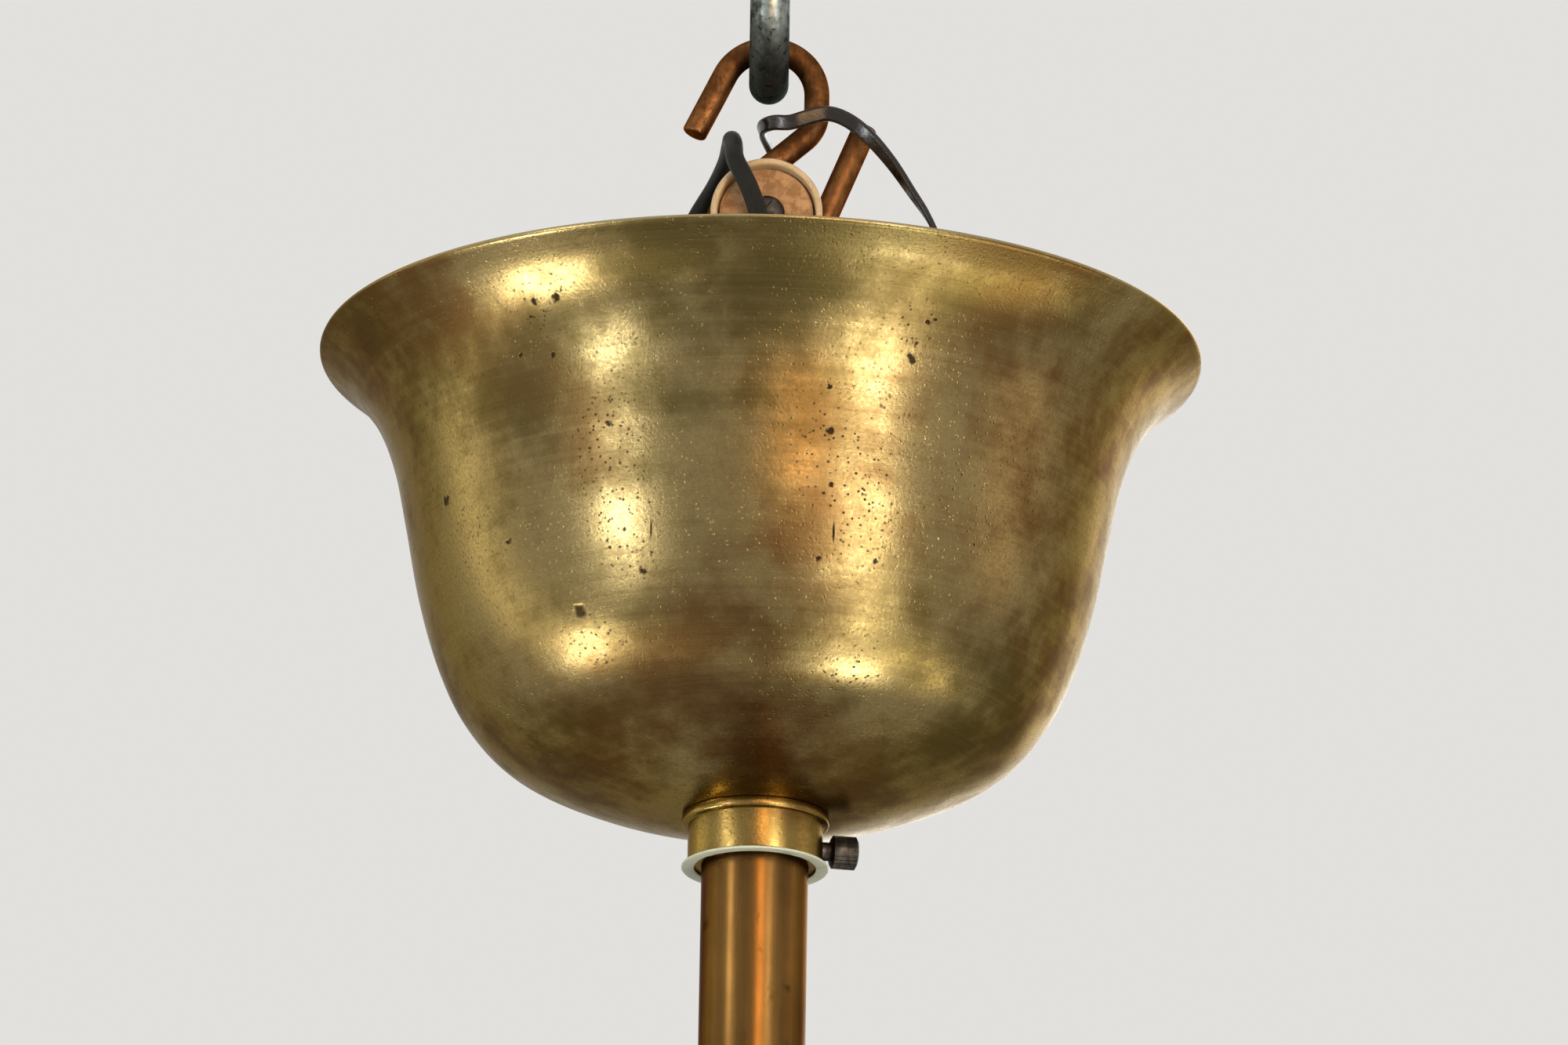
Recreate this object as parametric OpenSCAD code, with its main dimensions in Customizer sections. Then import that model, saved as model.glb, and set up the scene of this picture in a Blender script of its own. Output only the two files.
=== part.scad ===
// Brass chandelier hung from a steel ceiling hook.
// Z is up, millimetres. The origin is on the axis, where the hook's shank leaves the ceiling.

/* [Ceiling hook] */
// Diameter of the steel rod
rod_d = 6; // [5:0.1:6.4]
// Radius of the crook, to the middle of the rod
crook_r = 9.5; // [9:0.5:12]
// Drop from the ceiling to the middle of the rod at the bottom of the crook
hook_drop = 37.5; // [36:0.5:45]
// Length of the shank that goes into the ceiling
shank_len = 30; // [20:1:45]

/* [S-hook and spool] */
// Diameter of the coppered wire
wire_d = 3.8; // [3.6:0.1:4.2]
// Radius of the upper bend, to the middle of the wire
s_top_r = 7.3; // [7:0.1:8]
// Radius of the lower bend, to the middle of the wire
s_low_r = 7.4; // [7.4:0.1:7.8]
// Height between the centres of the two bends
s_span = 21.5; // [21:0.5:23]
// Outer radius of the insulating spool
spool_r = 8.4; // [8.2:0.1:9]
// Radius of the spool's core under its groove
core_r = 4.5; // [4.2:0.1:4.6]
// Half length of the spool
spool_half = 12; // [11.8:0.1:12.4]

/* [Stem and canopy] */
// Outer diameter of the stem tube
stem_d = 16; // [15:0.5:16]
// Length of the stem tube
stem_len = 395; // [360:5:500]
// Depth of the canopy's seat below the ceiling
seat_drop = 154; // [154:1:160]
// Sideways rest of the loose canopy on its stem
canopy_shift = -0.5; // [-0.8:0.1:0.8]
// Thickness of the spun brass
canopy_t = 0.9; // [0.7:0.1:1.2]
// Outer radius of the clamping collar's flange
collar_r = 11; // [10.6:0.1:11.2]
// Outer radius of the collar's waist
waist_r = 10.1; // [9.8:0.1:10.4]
// Height of the clamping collar
collar_h = 7.8; // [7.4:0.1:8.2]
// Direction of the thumb screw round the stem
screw_turn = 10; // [0:5:30]

/* [Arms and lamps] */
// Number of arms
arms = 5; // [3:1:5]
// Outer diameter of an arm tube
arm_d = 10; // [9:0.5:10]
// Radius of the hub drum
drum_r = 34; // [32:1:40]
// Height of the hub drum
drum_h = 40; // [36:1:46]
// Outer radius of a glass shade at its belly
shade_r = 46; // [42:1:52]
// Radius of a lamp's round glass
lamp_r = 22.5; // [20:0.5:24]

/* [Hidden] */
$fn = 64;
gap = 0.1;
running = 0.05;
joint_trim = 0.1;
joint_bead = 0.12;
joint_len = 0.6;

names_one = ["ceiling_hook", "s_hook", "insulator_spool", "yoke", "spool_screw", "spool_nut",
    "terminal_plate", "terminal_block", "terminal_screws", "top_nipple", "yoke_nut",
    "stem_bushes", "stem_tube", "stem_cable", "black_lead", "twin_flex",
    "canopy", "collar", "collar_ring", "thumb_screw",
    "hub_cover", "hub_drum", "hub_rod", "hub_nut", "hub_connector", "hub_dish", "finial",
    "arm_nuts", "arm_wires"];
names_arm = ["arm", "lamp_cup", "lampholder", "shade_ring", "shade", "bulb"];

// heights of the suspension, from the ceiling down
crook_z = -hook_drop;
crook_cz = crook_z + crook_r;
s_top_z = crook_z + rod_d / 2 + gap + wire_d / 2;
s_top_cz = s_top_z - s_top_r;
s_low_cz = s_top_cz - s_span;
spool_z = s_low_cz - s_low_r + wire_d / 2 + gap + core_r;

// heights of the stem, the canopy and the hub
seat_z = -seat_drop;
stem_r = stem_d / 2;
stem_wall = 1;
stem_top = seat_z + 63;
stem_bottom = stem_top - stem_len;
lead_base = stem_top - 64;
drum_top = stem_bottom;
arm_z = drum_top - drum_h / 2;

// the ceiling hook's neck turns the straight shank into the round crook
neck_r = 5;
neck_rise = sqrt(pow(crook_r + neck_r, 2) - pow(neck_r, 2));
neck_z = crook_cz + neck_rise;
neck_turn = atan2(neck_rise, neck_r);
crook_turn = neck_turn + 210;
flange_r = 6.5;
flange_h = 1.5;

// the S-hook's middle bend and the straight run that crosses to the lower bend
s_mid_r = 5.5;
s_mid_drop = 2.8;
s_lean_a = 25.7;
s_lean_b = 22;
s_leg_a = 10.7;
s_leg_b = 21;
s_mid_x = s_top_r - s_mid_r;
s_cross = norm([s_mid_x, s_top_cz - s_mid_drop - s_low_cz]);
s_aim = atan2(s_top_cz - s_mid_drop - s_low_cz, s_mid_x);
s_skew = asin((s_mid_r + s_low_r) / s_cross);
s_cross_run = sqrt(pow(s_cross, 2) - pow(s_mid_r + s_low_r, 2));
s_mid_turn = 90 - (s_aim - s_skew);
s_low_turn = 90 + s_mid_turn + 90 - s_lean_b;

// the spool's ends are sunk to take the yoke's round ears
groove_flat = 1;
groove_half = 6.2;
sink_y = 8.9;
sink_r = 7.35;
ear_r = 7;
ear_t = 1.5;
ear_y = sink_y + gap;
pin_r = 1.5;
screw_head_r = 2.75;
screw_head_h = 1.8;

// the stack on top of the stem
bush_flange = 1;
plate_t = 1.2;
plate_z = stem_top + bush_flange;
yoke_z = plate_z + plate_t;
nipple_r = 5;
nipple_bore = 3.6;
nipple_top = yoke_z + 8.3;
nut_h = 5;
nut_r = 8;
bush_h = 12;

// the terminal block stands in front of the yoke on its plate
block_w = 24;
block_d = 12;
block_h = 11;
block_y = -14.5;
pole_x = [-7, 0, 7];
entry_r = 1.9;
entry_h = 4;

// the canopy's outer outline, radius and height over its seat
canopy_out = [[11.2, 0], [15, 0.5], [21.3, 2.2], [30, 5.3], [38.4, 9.7], [44, 16], [47.8, 24],
    [50.7, 34], [52.8, 45], [54.8, 54.6], [57.8, 62.4], [61.8, 68], [66.5, 72.1]];
canopy_hole = 9.2;

// the collar's flange carries the canopy, its waist takes the thumb screw, and a thin ring
// closes it from below
flange_t = 1.5;
chamfer = 0.3;
clamp_z = -(flange_t + collar_h) / 2;
ring_h = 0.4;
ring_r = 11;
ring_bore = 9.1;
thumb_r = 2.6;
thumb_len = 4;
thumb_neck = 1.4;
thumb_gap = 0.4;

// the arm leaves the drum level, dips and rises to the lamp
arm_r = arm_d / 2;
arm_bore = 3.9;
arm_inner = 22;
arm_level = 30;
dip_r = 50;
dip_turn = 35;
rise_r = 70;
arm_up = 22;
arm_path = [["line", arm_level], ["arc", dip_r, -dip_turn], ["arc", rise_r, 90 + dip_turn],
    ["line", arm_up]];
lamp_x = arm_inner + arm_level + dip_r * sin(dip_turn) + rise_r * (1 + sin(dip_turn));
lamp_z = arm_z - dip_r * (1 - cos(dip_turn)) + rise_r * cos(dip_turn) + arm_up - 8;
arm_step = 360 / arms;
arm_first = -81;

// leads at the top of the stem, as hand-laid routes over their base height
black_r = 1.4;
flex_r = 1.2;
black_route = [[-1.7, 0, 70], [-1.7, 0, 75.5], [-3.2, 0.3, 79.3], [-7.2, 1.5, 81.4], [-11.5, 5, 84],
    [-13.6, 10.5, 88.5], [-13, 14.4, 94.5], [-10.8, 14.8, 100.2], [-7.8, 11.2, 104.4],
    [-6.2, 6, 106.4], [-5.6, 0, 107.1], [-5.4, -5, 106.3], [-5.1, -10, 103.7], [-4.8, -13.7, 100.2],
    [-3, -14.3, 96.4], [-1.6, -14.6, 92.6], [-0.8, -15.4, 88.5], [-1.5, -18, 85.2],
    [-3.7, -22.5, 83.4], [-6.1, -27, 82.8], [-7, -31.4, 80.9], [-7, -33.3, 76.6],
    [-7, -31.4, 72.3], [-7, -28.2, 70.5], [-7, -23.5, 70.2]];
flex_route = [[1.5, 0, 70], [1.5, 0, 75.5], [3, 0.3, 79], [7, 1.5, 81.6], [11, 5, 84.5],
    [12.4, 10.4, 89], [10.6, 14.6, 94.5], [7, 15.4, 100], [3.2, 11.8, 104.6], [0.4, 6, 108.4],
    [-1, 0, 109.7], [0.6, -3.6, 109.6], [3.3, -4.9, 109.3], [6.2, -5, 110.2], [9.1, -4.9, 110.8],
    [12.1, -5, 109.7], [15.3, -5, 107.1], [18.7, -5.2, 103], [21.7, -5.6, 98.4], [24.6, -6.4, 93.6],
    [26.3, -8.5, 88.4], [26, -13, 83.4], [22.8, -19, 80.4], [18, -25.5, 79.4], [12.4, -30.6, 78],
    [8.6, -32.9, 74.8], [7, -31.4, 71.6], [7, -28.2, 70.4], [7, -23.5, 70.2]];
cord_sides = 8;

// a point of a smooth curve through four points, t from 0 to 1 between the middle two
function smooth(a, b, c, d, t) =
    b + t * (c - a) / 2 + t * t * (a - 2.5 * b + 2 * c - d / 2)
    + t * t * t * (3 * (b - c) + d - a) / 2;

// a smooth curve through a list of points, with some steps between each pair
function curve(p, steps) = concat(
    [for (i = [0:len(p) - 2]) for (s = [0:steps - 1])
        smooth(p[max(i - 1, 0)], p[i], p[i + 1], p[min(i + 2, len(p) - 1)], s / steps)],
    [p[len(p) - 1]]);

function unit(v) = v / norm(v);

// the left-hand normal of an open outline at point i
function side(p, i) = let(d = unit(p[min(i + 1, len(p) - 1)] - p[max(i - 1, 0)])) [-d[1], d[0]];

// an outline moved to its left-hand side by t
function shifted(p, t) = [for (i = [0:len(p) - 1]) p[i] + t * side(p, i)];

function backwards(p) = [for (i = [len(p) - 1:-1:0]) p[i]];

// a closed wall of thickness t on the left-hand side of an outline
module wall(p, t) {
    polygon(concat(p, backwards(shifted(p, t))));
}

// one stretch of a bent rod that sets out along +X and bends in the XY plane, cut short by
// trim_a at its start and trim_b at its end
module stretch(piece, r, trim_a, trim_b) {
    if (piece[0] == "line") {
        translate([trim_a, 0, 0]) rotate([0, 90, 0])
            cylinder(r = r, h = piece[1] - trim_a - trim_b);
    } else {
        degrees_a = trim_a / piece[1] * 180 / PI;
        degrees_b = trim_b / piece[1] * 180 / PI;
        mirror([0, piece[2] < 0 ? 1 : 0, 0])
            translate([0, piece[1], 0])
                rotate([0, 0, degrees_a - 90])
                    rotate_extrude(angle = abs(piece[2]) - degrees_a - degrees_b)
                        translate([piece[1], 0]) circle(r = r);
    }
}

// moves to the end of a stretch
module onward(piece) {
    if (piece[0] == "line") {
        translate([piece[1], 0, 0]) children();
    } else {
        way = sign(piece[2]);
        translate([0, way * piece[1], 0]) rotate([0, 0, piece[2]])
            translate([0, -way * piece[1], 0]) children();
    }
}

// a rod that follows lines and arcs, with a short sleeve between one stretch and the next
module bent_rod(path, r, i = 0) {
    last = len(path) - 1;
    stretch(path[i], r, i > 0 ? joint_trim : 0, i < last ? joint_trim : 0);
    if (i < last) onward(path[i]) {
        rotate([0, 90, 0]) cylinder(r = r + joint_bead, h = joint_len, center = true);
        bent_rod(path, r, i + 1);
    }
}

// a direction square to d, kept as near as can be to the one before
function square_to(d, near) = unit(near - (near * d) * d);

// the directions along a route at each of its points
function headings(p) = [for (i = [0:len(p) - 1]) unit(p[min(i + 1, len(p) - 1)] - p[max(i - 1, 0)])];

// frames carried along a route without twist
function carried(d, i = 0, last = [0, 1, 0]) = i >= len(d) ? []
    : let(n = square_to(d[i], last)) concat([n], carried(d, i + 1, n));

// a round cord through the points of a route
module cord(route, r) {
    d = headings(route);
    n = carried(d);
    rings = len(route);
    points = [for (i = [0:rings - 1]) for (k = [0:cord_sides - 1])
        let(a = 360 * k / cord_sides) route[i] + r * (cos(a) * n[i] + sin(a) * cross(d[i], n[i]))];
    quads = [for (i = [0:rings - 2]) for (k = [0:cord_sides - 1])
        let(a = i * cord_sides + k, b = i * cord_sides + (k + 1) % cord_sides)
            each [[a, a + cord_sides, b + cord_sides], [a, b + cord_sides, b]]];
    first = [for (k = [1:cord_sides - 2]) [0, k, k + 1]];
    base = (rings - 1) * cord_sides;
    last = [for (k = [1:cord_sides - 2]) [base, base + k + 1, base + k]];
    polyhedron(points = points, faces = concat(quads, first, last), convexity = 8);
}

module hex_nut(r, bore, h) {
    difference() {
        cylinder(r = r, h = h, $fn = 6);
        translate([0, 0, -1]) cylinder(r = bore, h = h + 2);
    }
}

module tube(r, bore, h) {
    difference() {
        cylinder(r = r, h = h);
        translate([0, 0, -1]) cylinder(r = bore, h = h + 2);
    }
}

// steel hook with a flange that seats on the ceiling
module ceiling_hook() {
    color("gainsboro") {
        translate([0, 0, -flange_h]) cylinder(r = flange_r, h = flange_h);
        translate([0, 0, shank_len]) rotate([90, 0, 90]) rotate([0, 0, -90])
            bent_rod([["line", shank_len - neck_z], ["arc", neck_r, -neck_turn],
                ["arc", crook_r, crook_turn]], rod_d / 2);
    }
}

// coppered wire S, standing across the line of the ceiling hook
module s_hook() {
    start = [s_top_r * cos(180 - s_lean_a), s_top_cz + s_top_r * sin(180 - s_lean_a)]
        - s_leg_a * [cos(90 - s_lean_a), sin(90 - s_lean_a)];
    path = [["line", s_leg_a], ["arc", s_top_r, s_lean_a - 180], ["line", s_mid_drop],
        ["arc", s_mid_r, -s_mid_turn], ["line", s_cross_run], ["arc", s_low_r, s_low_turn],
        ["line", s_leg_b]];
    color("sienna")
        translate([start[0], 0, start[1]]) rotate([90, 0, 0]) rotate([0, 0, 90 - s_lean_a])
            bent_rod(path, wire_d / 2);
}

// insulating spool with a V groove, flat at its bottom, and sunk ends
module insulator_spool() {
    color("antiquewhite")
        translate([0, 0, spool_z]) rotate([90, 0, 0]) difference() {
            rotate_extrude() polygon([[0, -spool_half], [spool_r, -spool_half],
                [spool_r, -groove_half - 0.5], [spool_r - 0.4, -groove_half],
                [core_r, -groove_flat], [core_r, groove_flat],
                [spool_r - 0.4, groove_half], [spool_r, groove_half + 0.5],
                [spool_r, spool_half], [0, spool_half]]);
            cylinder(r = pin_r + gap, h = 3 * spool_half, center = true);
            for (way = [0, 1]) mirror([0, 0, way]) {
                translate([0, 0, sink_y]) cylinder(r = sink_r, h = spool_half);
                translate([-sink_r, -2 * spool_r, sink_y]) cube([2 * sink_r, 2 * spool_r, spool_half]);
            }
        }
}

// bent strip: two round ears and a base that is clamped on the top nipple
module yoke() {
    bend_r = 2;
    rise = spool_z - yoke_z;
    color("peru") difference() {
        union() {
            for (way = [0, 1]) mirror([0, way, 0]) {
                translate([0, -ear_y, yoke_z]) rotate([90, 0, 0]) linear_extrude(ear_t) {
                    translate([-ear_r, bend_r]) square([2 * ear_r, rise - bend_r]);
                    translate([0, rise]) circle(r = ear_r);
                }
                translate([-ear_r, -ear_y - ear_t + bend_r, yoke_z + bend_r])
                    rotate([0, 90, 0]) linear_extrude(2 * ear_r) intersection() {
                        difference() {
                            circle(r = bend_r);
                            circle(r = bend_r - ear_t);
                        }
                        translate([0, -bend_r]) square(bend_r);
                    }
            }
            translate([-ear_r, -ear_y - ear_t + bend_r, yoke_z])
                cube([2 * ear_r, 2 * (ear_y + ear_t - bend_r), ear_t]);
        }
        translate([0, 0, spool_z]) rotate([90, 0, 0])
            cylinder(r = pin_r + gap, h = 3 * spool_half, center = true);
        translate([0, 0, yoke_z - 1]) cylinder(r = nipple_r + gap, h = ear_t + 2);
    }
}

module spool_screw() {
    outside = ear_y + ear_t;
    color("dimgray") translate([0, 0, spool_z]) rotate([90, 0, 0]) {
        translate([0, 0, -outside - 3.5]) cylinder(r = pin_r, h = 2 * outside + 3.5 + 0.5);
        difference() {
            translate([0, 0, outside]) cylinder(r = screw_head_r, h = screw_head_h);
            translate([-0.35, -screw_head_r, outside + 1]) cube([0.7, 2 * screw_head_r, 2]);
        }
    }
}

module spool_nut() {
    color("dimgray") translate([0, ear_y + ear_t, spool_z]) rotate([-90, 0, 0])
        hex_nut(3.1, pin_r + running, 2.4);
}

// flat plate under the yoke that carries the terminal block in front
module terminal_plate() {
    reach = 4 - block_y + block_d;
    color("silver") translate([0, 0, plate_z]) difference() {
        union() {
            cylinder(r = 8, h = plate_t);
            translate([-8, -reach, 0]) cube([16, reach, plate_t]);
        }
        translate([0, 0, -1]) cylinder(r = nipple_r + gap, h = plate_t + 2);
        translate([0, block_y - block_d / 2, -1]) cylinder(r = 1.6, h = plate_t + 2);
    }
}

// three-pole block with a wire hole through each pole and a screw well over it
module terminal_block() {
    base = plate_z + plate_t;
    color("ivory") translate([0, block_y, base]) difference() {
        union() {
            translate([-block_w / 2, -block_d, 0]) cube([block_w, block_d, 6.5]);
            for (x = pole_x) translate([x, -block_d, entry_h]) rotate([-90, 0, 0])
                cylinder(r = 3.1, h = block_d);
            for (x = pole_x) for (y = [-3, -9]) translate([x, y, 0]) cylinder(r = 2.7, h = block_h);
        }
        for (x = pole_x) {
            translate([x, -block_d - 1, entry_h]) rotate([-90, 0, 0])
                cylinder(r = entry_r, h = block_d + 2);
            for (y = [-3, -9]) translate([x, y, entry_h]) cylinder(r = 1.7, h = block_h);
        }
        translate([-3.5, -block_d / 2, -1]) cylinder(r = 1.5, h = block_h);
    }
}

module terminal_screws() {
    base = plate_z + plate_t;
    color("darkgoldenrod") for (x = pole_x) for (y = [-3, -9])
        translate([x, block_y + y, base + entry_h + entry_r + gap]) difference() {
            cylinder(r = 1.6, h = 3.6);
            translate([-0.3, -2, 2.8]) cube([0.6, 4, 2]);
        }
}

module top_nipple() {
    color("gold") translate([0, 0, stem_top - bush_h + 1])
        tube(nipple_r, nipple_bore, nipple_top - stem_top + bush_h - 1);
}

module yoke_nut() {
    color("silver") translate([0, 0, yoke_z + ear_t]) hex_nut(nut_r, nipple_r + running, nut_h - 1);
}

// flanged bushes that close the stem's two ends and hold the threaded rods
module stem_bushes() {
    color("darkgoldenrod") {
        bush(stem_top);
        translate([0, 0, stem_bottom]) mirror([0, 0, 1]) bush(0);
    }
}

module bush(z) {
    translate([0, 0, z]) difference() {
        union() {
            translate([0, 0, -bush_h]) cylinder(r = stem_r - stem_wall - running, h = bush_h);
            cylinder(r = stem_r, h = bush_flange);
        }
        translate([0, 0, -bush_h - 1]) cylinder(r = nipple_r + running, h = bush_h + 4);
    }
}

module stem_tube() {
    color("peru") translate([0, 0, stem_bottom]) tube(stem_r, stem_r - stem_wall, stem_len);
}

module stem_cable() {
    top = lead_base + black_route[0][2];
    color("dimgray") translate([0, 0, arm_z]) cylinder(r = 3.2, h = top - arm_z);
}

module black_lead() {
    color("black") translate([0, 0, lead_base]) cord(black_route, black_r);
}

module twin_flex() {
    color("dimgray") translate([0, 0, lead_base]) cord(flex_route, flex_r);
}

// spun bell that rests on the collar, open at the top
module canopy() {
    outline = concat([[canopy_hole, 0]], curve(canopy_out, 4));
    color("darkgoldenrod") translate([canopy_shift, 0, seat_z])
        rotate_extrude() wall(outline, canopy_t);
}

// turned collar with a chamfered flange over its waist
module collar() {
    bore = stem_r + running;
    color("goldenrod") translate([0, 0, seat_z]) difference() {
        rotate_extrude() polygon([[bore, 0], [collar_r, 0], [collar_r, chamfer - flange_t],
            [collar_r - chamfer, -flange_t], [waist_r, -flange_t], [waist_r, -collar_h],
            [bore, -collar_h]]);
        rotate([0, 0, screw_turn]) translate([0, 0, clamp_z]) rotate([0, 90, 0])
            cylinder(r = thumb_neck + running, h = 2 * collar_r);
    }
}

// pale ring under the collar
module collar_ring() {
    color("ivory") translate([0, 0, seat_z - collar_h - ring_h])
        tube(ring_r, ring_bore, ring_h);
}

module thumb_screw() {
    start = stem_r + 0.25;
    head = collar_r + thumb_gap;
    color("gray") rotate([0, 0, screw_turn]) translate([0, 0, seat_z + clamp_z])
        rotate([0, 90, 0]) {
            translate([0, 0, start]) cylinder(r = thumb_neck, h = head - start + 1);
            difference() {
                translate([0, 0, head]) cylinder(r = thumb_r, h = thumb_len);
                for (a = [0:30:330]) rotate([0, 0, a]) translate([thumb_r + 0.15, 0, head - 1])
                    cylinder(r = 0.4, h = thumb_len + 2);
            }
        }
}

// spun bell that covers the joint of stem and drum
module hub_cover() {
    foot = drum_r - 0.5;
    outline = curve([[foot, 0], [foot, 2.5], [27, 8], [17, 12], [11.4, 20], [9.4, 30]], 4);
    color("goldenrod") translate([0, 0, drum_top - bush_flange]) rotate_extrude() wall(outline, 1);
}

// drum with a strong top plate and one hole for each arm
module hub_drum() {
    drum_wall = 2;
    top_t = 3;
    color("darkgoldenrod") translate([0, 0, drum_top - bush_flange - drum_h]) difference() {
        cylinder(r = drum_r, h = drum_h);
        translate([0, 0, -1]) cylinder(r = drum_r - drum_wall, h = drum_h - top_t + 1);
        cylinder(r = nipple_r + gap, h = drum_h + 1);
        for (k = [1:arms]) rotate([0, 0, arm_first + (k - 1) * arm_step])
            translate([0, 0, arm_z - drum_top + bush_flange + drum_h]) rotate([0, 90, 0])
                cylinder(r = arm_r + running, h = 2 * drum_r);
    }
}

finial_top = drum_top - bush_flange - drum_h - 13;

module hub_rod() {
    foot = finial_top - 10;
    color("gold") translate([0, 0, foot]) difference() {
        tube(nipple_r, nipple_bore, stem_bottom + bush_h - 1 - foot);
        translate([0, 0, arm_z - foot - 5]) rotate([90, 0, 0]) cylinder(r = 2.5, h = 20, center = true);
    }
}

module hub_nut() {
    color("silver") translate([0, 0, drum_top - bush_flange - 3 - nut_h])
        hex_nut(nut_r, nipple_r + running, nut_h);
}

// ring of crimped joints that the arm wires meet round the rod
module hub_connector() {
    color("ivory") translate([0, 0, arm_z - 12]) tube(12, nipple_r + 0.4, 8);
}

// dish that closes the drum from below, held up by the finial
module hub_dish() {
    outline = concat([[nipple_r + gap, -13]],
        curve([[11, -13], [17, -12], [26, -8], [drum_r, -2.5], [drum_r, 0]], 4));
    color("goldenrod") translate([0, 0, drum_top - bush_flange - drum_h])
        rotate_extrude() wall(outline, 1);
}

// turned knob on the end of the rod
module finial() {
    knob_z = -24;
    color("gold") translate([0, 0, finial_top]) difference() {
        union() {
            translate([0, 0, -3]) cylinder(r = 11, h = 3);
            translate([0, 0, -7]) cylinder(r1 = 7, r2 = 9.5, h = 4);
            translate([0, 0, -13]) cylinder(r = 7, h = 6);
            translate([0, 0, knob_z + 3]) sphere(r = 10.5);
            translate([0, 0, knob_z - 14]) cylinder(r1 = 1.2, r2 = 4, h = 8);
            translate([0, 0, knob_z - 14]) sphere(r = 2.4);
        }
        translate([0, 0, -10.5]) cylinder(r = nipple_r + running, h = 20);
    }
}

// places children at one arm's root, looking outwards along X
module at_arm(k) {
    rotate([0, 0, arm_first + (k - 1) * arm_step]) children();
}

module arm_nuts() {
    inside = drum_r - 2;
    face = sqrt(pow(inside, 2) - pow(nut_r, 2)) - gap;
    color("silver") for (k = [1:arms]) at_arm(k) translate([face - 4, 0, arm_z])
        rotate([0, 90, 0]) hex_nut(nut_r, arm_r + running, 4);
}

module arm_wires() {
    wire_start = 15;
    color("dimgray") for (k = [1:arms]) at_arm(k) translate([wire_start, 0, arm_z])
        rotate([90, 0, 0])
            bent_rod([["line", arm_inner - wire_start + arm_level], arm_path[1], arm_path[2],
                arm_path[3]], 1.8);
}

module arm(k) {
    past = 2;
    bore_path = [["line", arm_level + past], arm_path[1], arm_path[2], ["line", arm_up + past]];
    color("goldenrod") at_arm(k) translate([arm_inner, 0, arm_z]) rotate([90, 0, 0])
        difference() {
            bent_rod(arm_path, arm_r);
            translate([-past, 0, 0]) bent_rod(bore_path, arm_bore);
        }
}

// places children on top of one arm
module at_lamp(k) {
    at_arm(k) translate([lamp_x, 0, lamp_z]) children();
}

// spun dish with a boss that is fixed on the arm's end
module lamp_cup(k) {
    outline = curve([[arm_r + 1.5, -3], [12, -2.6], [20, 0.2], [26, 5]], 4);
    color("goldenrod") at_lamp(k) {
        rotate_extrude() wall(outline, 1);
        translate([0, 0, -12]) difference() {
            cylinder(r1 = 6.2, r2 = 8, h = 12);
            translate([0, 0, -1]) cylinder(r = arm_r + running, h = 14);
        }
    }
}

// sleeve with a shoulder for the shade and a threaded socket for the lamp
module lampholder(k) {
    color("ivory") at_lamp(k) difference() {
        union() {
            cylinder(r = 11, h = 8);
            translate([0, 0, 8]) cylinder(r = 13.5, h = 38);
            translate([0, 0, 14]) cylinder(r = 17.5, h = 2);
        }
        translate([0, 0, -1]) cylinder(r = arm_r + running, h = 9);
        translate([0, 0, 1]) cylinder(r = 3, h = 20);
        translate([0, 0, 18]) cylinder(r = 7.3, h = 40);
        translate([0, 0, 24]) difference() {
            cylinder(r = 11.9, h = 40);
            cylinder(r = 8.6, h = 40);
        }
    }
}

module shade_ring(k) {
    color("ivory") at_lamp(k) translate([0, 0, 18.8]) difference() {
        cylinder(r = 19, h = 4.5);
        translate([0, 0, -1]) cylinder(r = 13.5, h = 8);
        for (a = [0:30:330]) rotate([0, 0, a]) translate([19.6, 0, -1]) cylinder(r = 1.2, h = 8);
    }
}

// opal glass tulip, open at the top
module shade(k) {
    t = 2.6;
    outline = curve([[21, 16.1], [30, 20], [shade_r - 6, 34], [shade_r, 56], [shade_r - 2, 78],
        [shade_r - 3.5, 92], [shade_r + 1, 108]], 4);
    color("white") at_lamp(k) rotate_extrude() wall(concat([[14.2, 16.1]], outline), t);
}

// round lamp with its screw cap and its centre contact
module bulb(k) {
    cap_r = 6.9;
    globe_z = 72;
    neck_z = 46.5;
    neck = curve([[cap_r, neck_z], [8, 48.5], [10.8, 51.5], [15.8, globe_z - 16]], 3);
    color("whitesmoke") at_lamp(k) {
        translate([0, 0, 21]) cylinder(r = cap_r, h = neck_z - 21);
        translate([0, 0, 18.5]) cylinder(r1 = 3, r2 = 5.4, h = 2.5);
        rotate_extrude() polygon(concat([[0, neck_z]], neck, [[0, globe_z - 16]]));
        translate([0, 0, globe_z]) sphere(r = lamp_r);
    }
}

module arm_piece(name, k) {
    if (name == "arm") arm(k);
    if (name == "lamp_cup") lamp_cup(k);
    if (name == "lampholder") lampholder(k);
    if (name == "shade_ring") shade_ring(k);
    if (name == "shade") shade(k);
    if (name == "bulb") bulb(k);
}

ceiling_hook();
s_hook();
insulator_spool();
yoke();
spool_screw();
spool_nut();
terminal_plate();
terminal_block();
terminal_screws();
top_nipple();
yoke_nut();
stem_bushes();
stem_tube();
stem_cable();
black_lead();
twin_flex();
canopy();
collar();
collar_ring();
thumb_screw();
hub_cover();
hub_drum();
hub_rod();
hub_nut();
hub_connector();
hub_dish();
finial();
arm_nuts();
arm_wires();
for (name = names_arm) for (k = [1:arms])
    arm_piece(name, k);
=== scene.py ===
# %% [markdown]
# # A brass chandelier on its ceiling hook
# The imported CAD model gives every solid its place. This lesson dresses it: it keeps the solids
# whose shape is right, replaces those that deserve smoother curves, and gives each a finish.

# %% Load the frame
import math

import bmesh
import bpy
from bmesh.types import BMEdge, BMFace, BMVert
from mathutils import Matrix, Vector


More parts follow.
